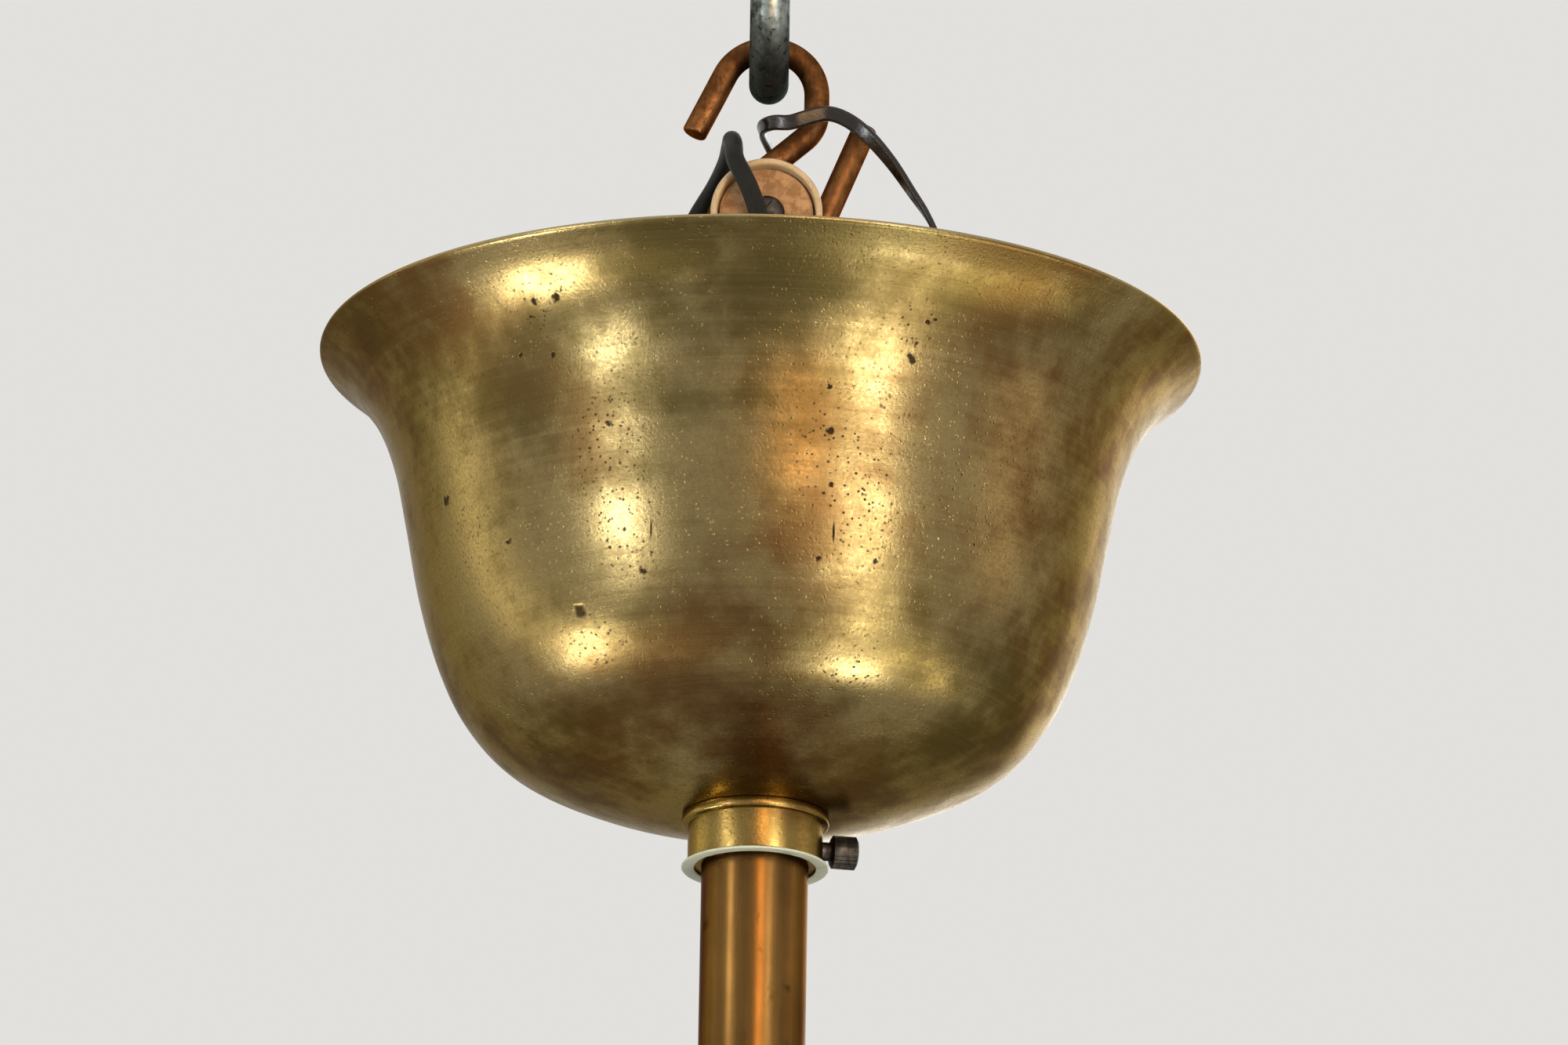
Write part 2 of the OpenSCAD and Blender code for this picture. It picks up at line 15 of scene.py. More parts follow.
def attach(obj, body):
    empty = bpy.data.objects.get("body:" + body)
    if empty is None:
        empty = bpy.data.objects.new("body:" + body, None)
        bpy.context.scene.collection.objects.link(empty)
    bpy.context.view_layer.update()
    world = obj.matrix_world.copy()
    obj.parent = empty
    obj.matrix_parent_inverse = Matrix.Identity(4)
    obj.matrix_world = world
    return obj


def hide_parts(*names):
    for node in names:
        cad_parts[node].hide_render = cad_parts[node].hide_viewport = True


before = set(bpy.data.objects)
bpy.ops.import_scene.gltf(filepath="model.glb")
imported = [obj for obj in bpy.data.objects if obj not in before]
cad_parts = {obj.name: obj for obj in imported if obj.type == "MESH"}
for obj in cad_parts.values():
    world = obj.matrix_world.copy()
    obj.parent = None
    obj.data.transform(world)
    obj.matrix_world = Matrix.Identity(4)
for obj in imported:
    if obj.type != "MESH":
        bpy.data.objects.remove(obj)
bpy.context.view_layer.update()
scene = bpy.context.scene
MM = 0.001

# %% [markdown]
# ## Main sizes
# These are the sizes of the real chandelier in metres, the same ones that drive the CAD model.
# Heights are measured from the ceiling, which is zero. The canopy's own heights are measured from
# the seat on its collar.

# %% Main sizes
SEAT_Z = -154 * MM
LEAD_Z = -155 * MM
DRUM_TOP = -487 * MM
DRUM_R = 34 * MM
DRUM_H = 40 * MM
ARM_Z = -506 * MM
CANOPY_SHIFT = -0.5 * MM
SPOOL_Z = -62.2 * MM

# %% [markdown]
# ## The camera
# The photograph looks up at the canopy from below, at 18.2 degrees, from far off with a long lens.
# The camera is built from its own right, up and back directions, because it is also rolled a
# little. It comes first, because the flex is turned by the way it looks.

# %% Camera
LOOK_UP = math.radians(18.2)
ROLL = math.radians(1)
DISTANCE = 3.2
FOCAL_PX = 27200
PHOTO_WIDTH_PX = 2000
SENSOR_MM = 36
SEES_TO = 200
AIM = Vector((3.45, 0, -107.6)) * MM


def in_scene(name, data):
    """Makes an object of this data and puts it in the scene."""
    thing = bpy.data.objects.new(name, data)
    scene.collection.objects.link(thing)
    return thing


ahead = Vector((0, math.cos(LOOK_UP), math.sin(LOOK_UP)))
upright = Vector((0, -math.sin(LOOK_UP), math.cos(LOOK_UP)))
across = Vector((1, 0, 0))
right = math.cos(ROLL) * across + math.sin(ROLL) * upright
up = math.cos(ROLL) * upright - math.sin(ROLL) * across
view = Matrix((right, up, -ahead)).transposed().to_4x4()
view.translation = AIM - DISTANCE * ahead

lens = bpy.data.cameras.new("camera")
lens.sensor_width = SENSOR_MM
lens.lens = FOCAL_PX / PHOTO_WIDTH_PX * SENSOR_MM
lens.clip_end = SEES_TO
camera = in_scene("camera", lens)
camera.matrix_world = view
scene.camera = camera
print("camera at", [round(v, 3) for v in view.translation], "lens", round(lens.lens, 1), "mm")

# %% [markdown]
# ## Helpers for meshes
# Nearly every part of a lamp is turned, spun or bent. So three helpers make nearly all of them: a
# smooth line through a few points, a turned solid that spins such a line round an axis, and a
# bent rod that pushes a circle along straights and bends.

# %% A smooth line through a few points
def smooth_line(points, steps=8):
    """Points of a curve that passes through all the given ones, as a spline ruler would."""
    pts = [Vector(p) for p in points]
    line = []
    for i in range(len(pts) - 1):
        a, b, c, d = (pts[min(max(i + k, 0), len(pts) - 1)] for k in (-1, 0, 1, 2))
        for s in range(steps):
            t = s / steps
            line.append(b + t * (c - a) / 2 + t * t * (a - 2.5 * b + 2 * c - d / 2)
                        + t ** 3 * (3 * (b - c) + d - a) / 2)
    line.append(pts[-1])
    return line


def wall_line(outline, thickness, edge_steps=6):
    """The closed section of a spun sheet: its outline, a rounded edge, and back along the inside.
    The edge is rounded within the length of the outline."""
    tip = outline[-1]
    end = tip - thickness / 2 * (tip - outline[-2]).normalized()
    outline = [p for p in outline if (p - tip).length > 0.6 * thickness] + [end]
    count = len(outline)
    heading = [(outline[min(i + 1, count - 1)] - outline[max(i - 1, 0)]).normalized()
               for i in range(count)]
    inside = [outline[i] + thickness * Vector((-heading[i].y, heading[i].x)) for i in range(count)]
    centre = (outline[-1] + inside[-1]) / 2
    edge = []
    for s in range(1, edge_steps):
        angle = math.pi * s / edge_steps
        edge.append(centre + math.cos(angle) * (outline[-1] - centre)
                    + math.sin(angle) * thickness / 2 * heading[-1])
    return outline + edge + inside[::-1]


# %% Turning
MERGE = 1e-7
QUARTER_X = Matrix.Rotation(math.pi / 2, 4, "X")


def raised(z, x=0):
    return Matrix.Translation((x, 0, z))


def finish_mesh(name, bm, smooth_angle=35):
    """Cleans a bmesh, points its faces outwards and makes it a smooth-shaded object."""
    bmesh.ops.remove_doubles(bm, verts=bm.verts, dist=MERGE)
    bmesh.ops.recalc_face_normals(bm, faces=bm.faces)
    mesh = bpy.data.meshes.new(name)
    bm.to_mesh(mesh)
    bm.free()
    mesh.polygons.foreach_set("use_smooth", [True] * len(mesh.polygons))
    mesh.set_sharp_from_angle(angle=math.radians(smooth_angle))
    return in_scene(name, mesh)


def spin_line(bm, line, turns=96):
    """Spins (radius, height) points round the Z axis. A line that stays off the axis is closed."""
    dots = [bm.verts.new((p[0], 0, p[1])) for p in line]
    back = dots[:1] if min(line[0][0], line[-1][0]) > 0 else []
    edges = [bm.edges.new(pair) for pair in zip(dots, dots[1:] + back)]
    bmesh.ops.spin(bm, geom=dots + edges, axis=(0, 0, 1), cent=(0, 0, 0), angle=math.tau,
                   steps=turns, use_merge=True)


def turned(name, lines, place, turns=96, smooth_angle=35):
    """A turned solid of one or more lines, with radius and height in metres."""
    bm = bmesh.new()
    for line in lines:
        spin_line(bm, line, turns)
    bmesh.ops.transform(bm, matrix=place, verts=bm.verts)
    return finish_mesh(name, bm, smooth_angle)


# %% Bending and carrying along a line
def only(kind, geom):
    return [g for g in geom if isinstance(g, kind)]


def bent_rod(bm, path, radius, rest, sides, cap=0.25, step_deg=4):
    """Pushes a circle along +X through lines and arcs in XY, eases its ends and lays it at rest."""
    made = bmesh.ops.create_circle(bm, segments=sides, radius=radius, cap_ends=True)["verts"]
    bmesh.ops.rotate(bm, verts=made, cent=(0, 0, 0), matrix=Matrix.Rotation(math.pi / 2, 3, "Y"))
    first = tip = made[0].link_faces[0]
    place = Matrix.Identity(4)
    for kind, *size in path:
        geom = [tip] + list(tip.edges) + list(tip.verts)
        if kind == "line":
            move = Matrix.Translation((size[0], 0, 0))
            out = bmesh.ops.extrude_face_region(bm, geom=geom, use_keep_orig=tip is first)["geom"]
            bmesh.ops.translate(bm, verts=only(BMVert, out), vec=place.to_3x3() @ move.translation)
        else:
            bend, turn = size
            centre = Vector((0, math.copysign(bend, turn), 0))
            steps = max(2, round(abs(turn) / step_deg))
            out = bmesh.ops.spin(bm, geom=geom, cent=place @ centre, axis=(0, 0, 1),
                                 angle=math.radians(turn), steps=steps,
                                 use_merge=False)["geom_last"]
            move = (Matrix.Translation(centre) @ Matrix.Rotation(math.radians(turn), 4, "Z")
                    @ Matrix.Translation(-centre))
        place = place @ move
        tip = only(BMFace, out)[0]
    if cap:
        rim = list(set(first.edges) | set(tip.edges))
        bmesh.ops.bevel(bm, geom=rim, offset=cap * radius, offset_type="OFFSET", segments=4,
                        profile=0.5, affect="EDGES", material=-1)
    bmesh.ops.transform(bm, verts=bm.verts, matrix=rest)


def carried_places(line):
    """A frame at each point of a line, Z along it, turned as little as can be from the last."""
    places = []
    wide = Vector((1, 0, 0))
    for i, point in enumerate(line):
        heading = (line[min(i + 1, len(line) - 1)] - line[max(i - 1, 0)]).normalized()
        wide = (wide - wide.dot(heading) * heading).normalized()
        place = Matrix((wide, heading.cross(wide), heading)).transposed().to_4x4()
        place.translation = point
        places.append(place)
    return places


def swept(name, line, section, twists):
    """Carries a closed section along a line without roll, turned by its twist at each point."""
    bm = bmesh.new()
    dots = [bm.verts.new((x, y, 0)) for x, y in section]
    first = edges = [bm.edges.new(pair) for pair in zip(dots, dots[1:] + dots[:1])]
    before = Matrix.Identity(4)
    moved = dots
    for place, twist in zip(carried_places(line), twists):
        after = place @ Matrix.Rotation(twist, 4, "Z")
        if before != Matrix.Identity(4):
            out = bmesh.ops.extrude_edge_only(bm, edges=edges)["geom"]
            moved = only(BMVert, out)
            fresh = set(moved)
            edges = [edge for edge in only(BMEdge, out) if fresh.issuperset(edge.verts)]
        bmesh.ops.transform(bm, matrix=after @ before.inverted(), verts=moved)
        before = after
    bmesh.ops.holes_fill(bm, edges=first + edges, sides=0)
    return finish_mesh(name, bm, 80)


# %% Seating a piece, and millimetres
def seat(piece, body, slot, material, *nodes):
    """Rides a finished piece on its body and says which solids it stands for."""
    piece.data.materials.clear()
    piece.data.materials.append(material)
    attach(piece, body)
    if nodes:
        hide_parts(*nodes)


def mm(points):
    return [Vector(p) * MM for p in points]


def in_mm(piece):
    """The width, depth and height of a piece in millimetres, for the prints."""
    return [round(v / MM, 1) for v in piece.dimensions]


print("helpers ready")

# %% [markdown]
# ## Helpers for shaders
# A finish is mostly arithmetic on textures, so one small class wraps a socket and lets Python's
# operators add the Math nodes. One method makes any other node, and the masks, noises and bumps
# that all finishes share are short methods on top of it.

# %% The shader helper
def feed(tree, socket, value):
    """Links a wire to a socket, or sets the socket to a number or a colour."""
    if isinstance(value, Wire):
        tree.links.new(value.socket, socket)
    else:
        socket.default_value = value


def operator(operation):
    """A method that joins two wires, or a wire and a number, with a Math node."""
    return lambda one, two: one.math(operation, two)


class Wire:
    """A shader socket on which Python's operators work, with | for the larger of two masks."""

    def __init__(self, tree, socket):
        self.tree = tree
        self.socket = socket

    def math(self, operation, other):
        node = self.tree.nodes.new("ShaderNodeMath")
        node.operation = operation
        for socket, value in zip(node.inputs, (self, other)):
            feed(self.tree, socket, value)
        return Wire(self.tree, node.outputs[0])

    def __rsub__(self, other):
        return self * -1 + other

    __add__ = __radd__ = operator("ADD")
    __mul__ = __rmul__ = operator("MULTIPLY")
    __sub__ = operator("SUBTRACT")
    __truediv__ = operator("DIVIDE")
    __pow__ = operator("POWER")
    __or__ = operator("MAXIMUM")


class Shader:
    """A node tree. make() adds any node to it, and its result is a Wire."""

    def __init__(self, tree):
        self.tree = tree

    def make(self, kind, out=0, settings=None, **inputs):
        """An input is named by its place, as _0, or by its name with _ for a space."""
        node = self.tree.nodes.new(kind)
        for key, value in (settings or {}).items():
            setattr(node, key, value)
        for key, value in inputs.items():
            place = int(key[1:]) if key[1:].isdigit() else key.replace("_", " ")
            feed(self.tree, node.inputs[place], value)
        return Wire(self.tree, node.outputs[out])

    def shown(self):
        """1 for the rays that show the background: the camera's, and off metal or in glass."""
        camera, glossy, through = (self.make("ShaderNodeLightPath", f"Is {kind} Ray")
                                   for kind in ("Camera", "Glossy", "Transmission"))
        return camera | glossy | through

    def surface(self, mask, one, two):
        """Ends the tree in shader one where the mask is 0, and in shader two where it is 1."""
        mixed = self.make("ShaderNodeMixShader", _0=mask, _1=one, _2=two)
        end = [node for node in self.tree.nodes if "Output" in node.bl_idname][0]
        feed(self.tree, end.inputs["Surface"], mixed)


class Finish(Shader):
    """One material, with the textures and masks that a finish is made of."""

    def __init__(self, name, **constants):
        self.material = bpy.data.materials.new(name)
        self.material.use_nodes = True
        super().__init__(self.material.node_tree)
        self.shader = self.tree.nodes["Principled BSDF"]
        self.where = self.make("ShaderNodeTexCoord", "Object")
        for socket, value in constants.items():
            self.to(socket.replace("_", " "), value)

    def to(self, socket, value):
        feed(self.tree, self.shader.inputs[socket], value)

    def stretched(self, scale=(1, 1, 1), move=(0, 0, 0)):
        return self.make("ShaderNodeMapping", Vector=self.where, Scale=scale, Location=move)

    def noise(self, scale, detail=3, rough=0.5, source=None):
        return self.make("ShaderNodeTexNoise", Vector=source or self.where, Scale=scale,
                         Detail=detail, Roughness=rough)

    def cells(self, scale, **settings):
        return self.make("ShaderNodeTexVoronoi", "Distance", settings, Vector=self.where,
                         Scale=scale)

    def fit(self, value, low, high, to_low=0, to_high=1):
        """Takes the stretch from low to high smoothly to the one from to_low to to_high."""
        return self.make("ShaderNodeMapRange", 0, {"interpolation_type": "SMOOTHSTEP"},
                         Value=value, From_Min=low, From_Max=high, To_Min=to_low, To_Max=to_high)

    def blend(self, mask, one, two):
        """Colour one where the mask is 0, colour two where it is 1."""
        one, two = (c if isinstance(c, Wire) else (*c[:3], 1) for c in (one, two))
        return self.make("ShaderNodeMix", 2, {"data_type": "RGBA", "clamp_factor": True},
                         _0=mask, _6=one, _7=two)

    def bump(self, *heights):
        """Chains bumps, each (height wire, distance in millimetres, strength)."""
        before = {}
        for height, distance, strength in heights:
            last = self.make("ShaderNodeBump", Height=height, Distance=distance * MM,
                             Strength=strength, **before)
            before = {"Normal": last}
        self.to("Normal", last)

    def round_axis(self, centre=(0, 0, 0)):
        """The angle round a vertical axis, from 0 to 1, the radius, and the height."""
        local = self.stretched(move=[-v for v in centre])
        x, y, z = (self.make("ShaderNodeSeparateXYZ", way, Vector=local) for way in "XYZ")
        return y.math("ARCTAN2", x) / math.tau + 0.5, (x * x + y * y) ** 0.5, z

    def joined(self, x, y, z):
        return self.make("ShaderNodeCombineXYZ", X=x, Y=y, Z=z)


def times(colour, factor):
    return [v * factor for v in colour]


print("shader helper ready")

# %% [markdown]
# ## Lacquered, spun brass
# The canopy is brass sheet, spun on a lathe and brushed while it turned, so its fine lines run
# round the axis. Under old lacquer it has clouds of darker tarnish, freckles and little pits. The
# lines come from noise that is stretched along the turning, the freckles from Voronoi cells that
# are kept only inside clouds, so that they gather in drifts as the real ones do.

# %% Marks in the brass
SPECK = (0.028, 0.016, 0.007)
SQUEEZE = (1, 0.25, 0.09)
WOBBLE = 1.5 * MM


def near_marks(finish, places, source, soft):
    """A mask that is 1 within the reach of any of the marks, each (x, y, z, reach) in mm."""
    near = None
    for *place, reach in places:
        far = finish.make("ShaderNodeVectorMath", 1, {"operation": "DISTANCE"}, _0=source,
                          _1=times(place, MM))
        mark = finish.fit(far, soft * reach * MM, reach * MM, 1, 0)
        near = near | mark if near else mark
    return near


def scratch_mask(finish, place):
    """A thin upright scratch, four millimetres long."""
    local = finish.stretched(SQUEEZE, [-v * MM * s for v, s in zip(place, SQUEEZE)])
    return finish.fit(finish.make("ShaderNodeVectorMath", 1, {"operation": "LENGTH"}, _0=local),
                      0.07 * MM, 0.2 * MM, 1, 0)


# %% Spun brass
def spun_brass(name, centre=(0, 0, 0), light=(0.262, 0.194, 0.078), dark=(0.082, 0.05, 0.0145),
               rough=0.25, drifts=(), spots=(), scratches=(), freckle=1, lip_highlight=None):
    brass = Finish(name, Metallic=1, Coat_Roughness=0.25, Coat_IOR=1.45,
                   Specular_Tint=(0.42, 0.34, 0.2, 1))
    angle, radius, height = brass.round_axis(centre)
    fine = brass.noise(1.6, 4, 0.65, brass.joined(angle * 9, radius * 700, height * 2600))
    broad = brass.noise(1, 3, 0.6, brass.joined(angle * 5, radius * 60, height * 900))
    cloud = brass.noise(27, 4, 0.55)
    mottle = brass.noise(140, 5, 0.62)
    grain = brass.fit(brass.noise(1900, 3, 0.7), 0.36, 0.66)
    drift = brass.noise(62, 3, 0.5, brass.stretched(move=(0.3, 0.1, 0.2)))
    wobble = brass.make("ShaderNodeVectorMath", 0, {"operation": "MULTIPLY_ADD"},
                        _0=brass.make("ShaderNodeTexNoise", 1, Vector=brass.where, Scale=900),
                        _1=[WOBBLE] * 3, _2=brass.stretched(move=[-WOBBLE / 2] * 3))
    gathered = brass.fit(drift, 0.5, 0.72) * 0.8
    if drifts:
        gathered = gathered | near_marks(brass, drifts, brass.where, 0.2)
    small = brass.fit(brass.cells(1250), 0.1, 0.3, 1, 0)
    middling = brass.fit(brass.cells(560), 0.07, 0.17, 1, 0)
    keep_small = brass.fit(brass.noise(900, 1, 0.5), 0.41, 0.55)
    keep_middling = brass.fit(brass.noise(330, 1, 0.5), 0.56, 0.65)
    specks = small * keep_small * 0.8 | middling * keep_middling
    specks = specks * (gathered * 0.75 + 0.25) * freckle
    if spots:
        specks = specks | near_marks(brass, spots, wobble, 0.5)
    for place in scratches:
        specks = specks | scratch_mask(brass, place)
    tone = brass.fit(cloud * 0.55 + mottle * 0.35 + broad * 0.1, 0.41, 0.59)
    warm = brass.fit(brass.noise(19, 3, 0.5, brass.stretched(move=(0.7, 0.2, 0.4))), 0.42, 0.6)
    deep = brass.blend(warm, [v * f for v, f in zip(dark, (0.95, 1.15, 1.1))],
                       [v * f for v, f in zip(dark, (1.25, 0.95, 0.9))])
    colour = brass.blend(tone, deep, light)
    colour = brass.blend(grain * 0.3, colour, times(dark, 0.55))
    colour = brass.blend(fine * 0.16, colour, times(light, 1.7))
    colour = brass.blend(specks * 0.92, colour, SPECK)
    roughness = (fine * 0.08 + (1 - tone) * 0.07 + grain * 0.05 + specks * 0.4
                 + (rough - 0.06))
    if lip_highlight:
        # painted highlight: the brass is lighter along the rolled lip, where light catches its
        # edge; it is also a little smoother there
        wear_and_highlight = brass.fit(height, *lip_highlight)
        colour = brass.blend(wear_and_highlight * 0.8, colour, (0.62, 0.5, 0.26))
        roughness = roughness - wear_and_highlight * 0.1
    brass.to("Base Color", colour)
    brass.to("Roughness", roughness)
    brass.to("Coat Weight", (1 - specks) * 0.12 + tone * 0.1)
    brass.bump((fine, 0.02, 0.3), (grain, 0.03, 0.25), (specks * -1, 0.14, 0.8))
    return brass.material


# %% The three spun brasses
# drifts of freckles, single spots and scratches, as they lie on the real canopy, in millimetres
DRIFTS = [(-33, -48, -92, 6), (23, -52, -94, 6), (-26, -38, -137, 7), (-17, -45, -129, 6),
          (-20, -45, -123, 12), (-23, -47, -111, 9), (9, -51, -112, 9), (14, -49, -118, 12),
          (14, -38, -142, 7), (-48, -18, -112, 6), (31, -38, -121, 8), (20, 44, -112, 12),
          (-30, 40, -100, 9)]
SPOTS = [(-31.1, -50.6, -89.8, 0.75), (-34.3, -48.4, -89.8, 0.6), (-34.3, -46.9, -91.6, 0.5),
         (-30.3, -51.8, -88.9, 0.4), (-36.1, -43.1, -96.4, 0.6), (-31.1, -46.4, -97.2, 0.5),
         (-22.8, -48, -108.5, 0.6), (-46.9, -23.5, -112.9, 1.1), (-37.4, -33.8, -122.5, 0.6),
         (-26.4, -37.7, -134.2, 1.35), (-17.3, -44.7, -130.2, 0.6), (24.3, -51.6, -92.9, 0.55),
         (25.4, -51.2, -92.5, 0.45), (22.3, -51.1, -96.3, 0.6), (22, -50.4, -98.4, 0.75),
         (9.9, -52.9, -103.6, 0.5), (10, -51.5, -110.1, 0.7), (10.4, -49.9, -118, 0.55),
         (8.7, -47.3, -128.7, 0.5), (16.9, -45, -128.3, 0.5)]
SCRATCHES = [(10.8, -48, -124.5), (-16.2, -46.9, -124.2)]
canopy_brass = spun_brass("spun brass, canopy", (CANOPY_SHIFT, 0, 0), drifts=DRIFTS, spots=SPOTS,
                          scratches=SCRATCHES, lip_highlight=(SEAT_Z + 71.9 * MM, SEAT_Z + 72.5 * MM))
fixture_brass = spun_brass("spun brass, fixture", light=(0.36, 0.25, 0.072),
                           dark=(0.19, 0.12, 0.035), freckle=0.6)
collar_brass = spun_brass("turned brass, collar", light=(0.25, 0.17, 0.044),
                          dark=(0.11, 0.066, 0.017), rough=0.26, freckle=0.5)
print("spun brasses, with", len(DRIFTS), "drifts and", len(SPOTS), "spots on the canopy")

# %% [markdown]
# ## Drawn brass tube
# The stem and the arms are drawn tube. Years of polish have left long streaks and a browner
# tone than the canopy's, with a few dark stains. The streaks run along the tube, so the noise is
# stretched along its height.

# %% Drawn tube and turned brass
def drawn_brass(name, light, dark, rough=0.3, along=(120, 120, 7), edge=(0.6, 0.42, 0.25, 1)):
    tube = Finish(name, Metallic=1, Coat_Roughness=0.25, Specular_Tint=edge)
    streaks = tube.noise(1, 5, 0.6, tube.stretched(along))
    hair = tube.noise(1, 3, 0.7, tube.stretched(times(along, 9)))
    cloud = tube.noise(40, 4, 0.6)
    tone = tube.fit(streaks * 0.6 + cloud * 0.4, 0.38, 0.62)
    stain = tube.fit(tube.noise(150, 4, 0.6), 0.6, 0.75)
    colour = tube.blend(tone, dark, light)
    colour = tube.blend(hair * 0.2, colour, times(light, 1.5))
    colour = tube.blend(stain * 0.7, colour, times(dark, 0.3))
    tube.to("Base Color", colour)
    tube.to("Roughness", hair * 0.12 + (1 - tone) * 0.08 + stain * 0.2 + (rough - 0.06))
    tube.to("Coat Weight", (1 - stain) * 0.07)
    tube.bump((hair, 0.03, 0.3), (stain * -1, 0.04, 0.4))
    return tube.material


stem_brass = drawn_brass("drawn brass, stem", (0.17, 0.088, 0.022), (0.06, 0.029, 0.008), 0.24,
                         edge=(0.4, 0.34, 0.24, 1))
arm_brass = drawn_brass("drawn brass, arms", (0.42, 0.29, 0.085), (0.25, 0.155, 0.045),
                        along=(60, 60, 60))
thread_brass = drawn_brass("turned brass, threads", (0.46, 0.32, 0.11), (0.28, 0.18, 0.06), 0.35,
                           (40, 40, 400))
print("drawn and turned brasses")

# %% [markdown]
# ## Bare metals of the suspension
# The ceiling hook is plain steel, worn at random, with a painted highlight at the top and painted
# shade that darkens it towards the bottom of its crook, where its pits also gather. The S-hook is
# steel wire with a thin copper plating that has gone dull brown, with
# brighter rubbed spots. The screw is blackened steel, the nuts are zinc plated.

# %% Steel, copper and zinc
def bare_metal(name, bright, dull, spots, rough, share=(0.42, 0.6), grain=1,
               metallic=1, edge=(0.6, 0.6, 0.6), painted_shade_heights=None, brushed=0.3):
    metal = Finish(name, Metallic=metallic, Specular_Tint=(*edge, 1))
    wear_and_highlight = metal.noise(190 * grain, 5, 0.65)
    scale = metal.noise(900 * grain, 3, 0.6)
    lines = metal.noise(1, 3, 0.6, metal.stretched(times((900, 900, 80), grain)))
    pits = metal.fit(metal.cells(1400 * grain), 0.1, 0.3, 1, 0)
    pits = pits * metal.fit(metal.noise(420 * grain, 2), 0.52, 0.66)
    tone = metal.fit(wear_and_highlight * (1 - brushed) + lines * brushed, *share)
    # painted light and shade: the tone stays full at the top of the hook and falls to a dark one
    # towards the bottom of its crook, where more pits are added
    if painted_shade_heights:
        height = metal.round_axis()[2]
        tone = tone * metal.fit(height, *painted_shade_heights, 0.12, 1)
        pits = pits | metal.fit(scale, 0.58, 0.66) * metal.fit(height, *painted_shade_heights, 0.8, 0.1)
    colour = metal.blend(tone, dull, bright)
    colour = metal.blend(scale * 0.25, colour, times(dull, 0.5))
    colour = metal.blend(pits, colour, spots)
    metal.to("Base Color", colour)
    metal.to("Roughness", (1 - tone) * (rough[1] - rough[0]) + scale * 0.12 + pits * 0.2
             + rough[0] - 0.05)
    metal.bump((scale, 0.04, 0.5), (pits * -1, 0.1, 0.7), (lines, 0.03, brushed))
    return metal.material


steel = bare_metal("worn steel with painted shade, hook", (0.5, 0.57, 0.55), (0.05, 0.054, 0.047),
                   (0.018, 0.017, 0.014), (0.18, 0.55), (0.36, 0.58), edge=(0.25, 0.26, 0.25),
                   painted_shade_heights=(-0.036, -0.026))
copper = bare_metal("dull copper plating, S-hook", (0.255, 0.11, 0.038), (0.098, 0.041, 0.014),
                    (0.04, 0.02, 0.01), (0.4, 0.62), (0.34, 0.66), 1.5, edge=(0.45, 0.3, 0.2))
ear_copper = bare_metal("dull coppered strip, yoke", (0.58, 0.35, 0.175), (0.4, 0.22, 0.095),
                        (0.13, 0.07, 0.035), (0.55, 0.75), (0.4, 0.62), 3.4, 0.35, brushed=0.05)
dark_steel = bare_metal("blackened steel, screws", (0.09, 0.08, 0.07), (0.03, 0.026, 0.022),
                        (0.01, 0.009, 0.008), (0.4, 0.6))
zinc = bare_metal("zinc plate", (0.55, 0.56, 0.56), (0.34, 0.35, 0.34), (0.12, 0.11, 0.1),
                  (0.3, 0.5))
print("steel, copper and zinc")

# %% [markdown]
# ## Ceramic, plastics and glass
# The spool is glazed ceramic that has yellowed and crazed. The terminal block, the lampholders and
# the collar's ring are moulded in pale plastic. The shades are opal glass, milky all through, so a
# little light passes into them; the lamps are the same, but smoother.

# %% Pale mouldings
def moulded(name, colour, shade, rough=0.45, grime=0.35):
    plastic = Finish(name)
    cloud = plastic.noise(60, 4, 0.6)
    skin = plastic.noise(1800, 2, 0.5)
    dirt = plastic.fit(plastic.noise(170, 5, 0.65), 0.54, 0.74)
    tint = plastic.blend(cloud, colour, shade)
    plastic.to("Base Color", plastic.blend(dirt * grime, tint, times(shade, 0.35)))
    plastic.to("Roughness", cloud * 0.1 + dirt * 0.2 + skin * 0.06 + (rough - 0.08))
    plastic.bump((skin, 0.02, 0.4), (cloud, 0.1, 0.15))
    return plastic.material


block_plastic = moulded("pale moulding, block", (0.76, 0.73, 0.63), (0.66, 0.61, 0.49))
ring_plastic = moulded("pale ring, collar", (0.47, 0.5, 0.41), (0.36, 0.38, 0.29), 0.5, 0.5)
holder_plastic = moulded("pale moulding, lampholder", (0.74, 0.7, 0.6),
                         (0.66, 0.6, 0.48), 0.38)
cable_plastic = moulded("grey sheath", (0.5, 0.5, 0.48), (0.42, 0.42, 0.4), 0.5)
print("pale mouldings")

# %% Glazed ceramic
glaze = Finish("glazed ceramic, spool", Coat_Roughness=0.12)
cloud = glaze.noise(120, 4, 0.6)
crazing = glaze.fit(glaze.cells(420, feature="DISTANCE_TO_EDGE"), 0, 0.03, 1, 0)
dust = glaze.fit(glaze.noise(1500, 3, 0.7), 0.5, 0.75)
colour = glaze.blend(cloud, (0.7, 0.52, 0.29), (0.55, 0.38, 0.19))
colour = glaze.blend(crazing * 0.35, colour, (0.2, 0.12, 0.055))
colour = glaze.blend(dust * 0.3, colour, (0.68, 0.55, 0.36))
glaze.to("Base Color", colour)
glaze.to("Roughness", dust * 0.25 + cloud * 0.1 + 0.32)
glaze.to("Coat Weight", (1 - dust) * 0.35)
glaze.bump((crazing * -1, 0.03, 0.3), (dust, 0.03, 0.3))
print("glazed ceramic")


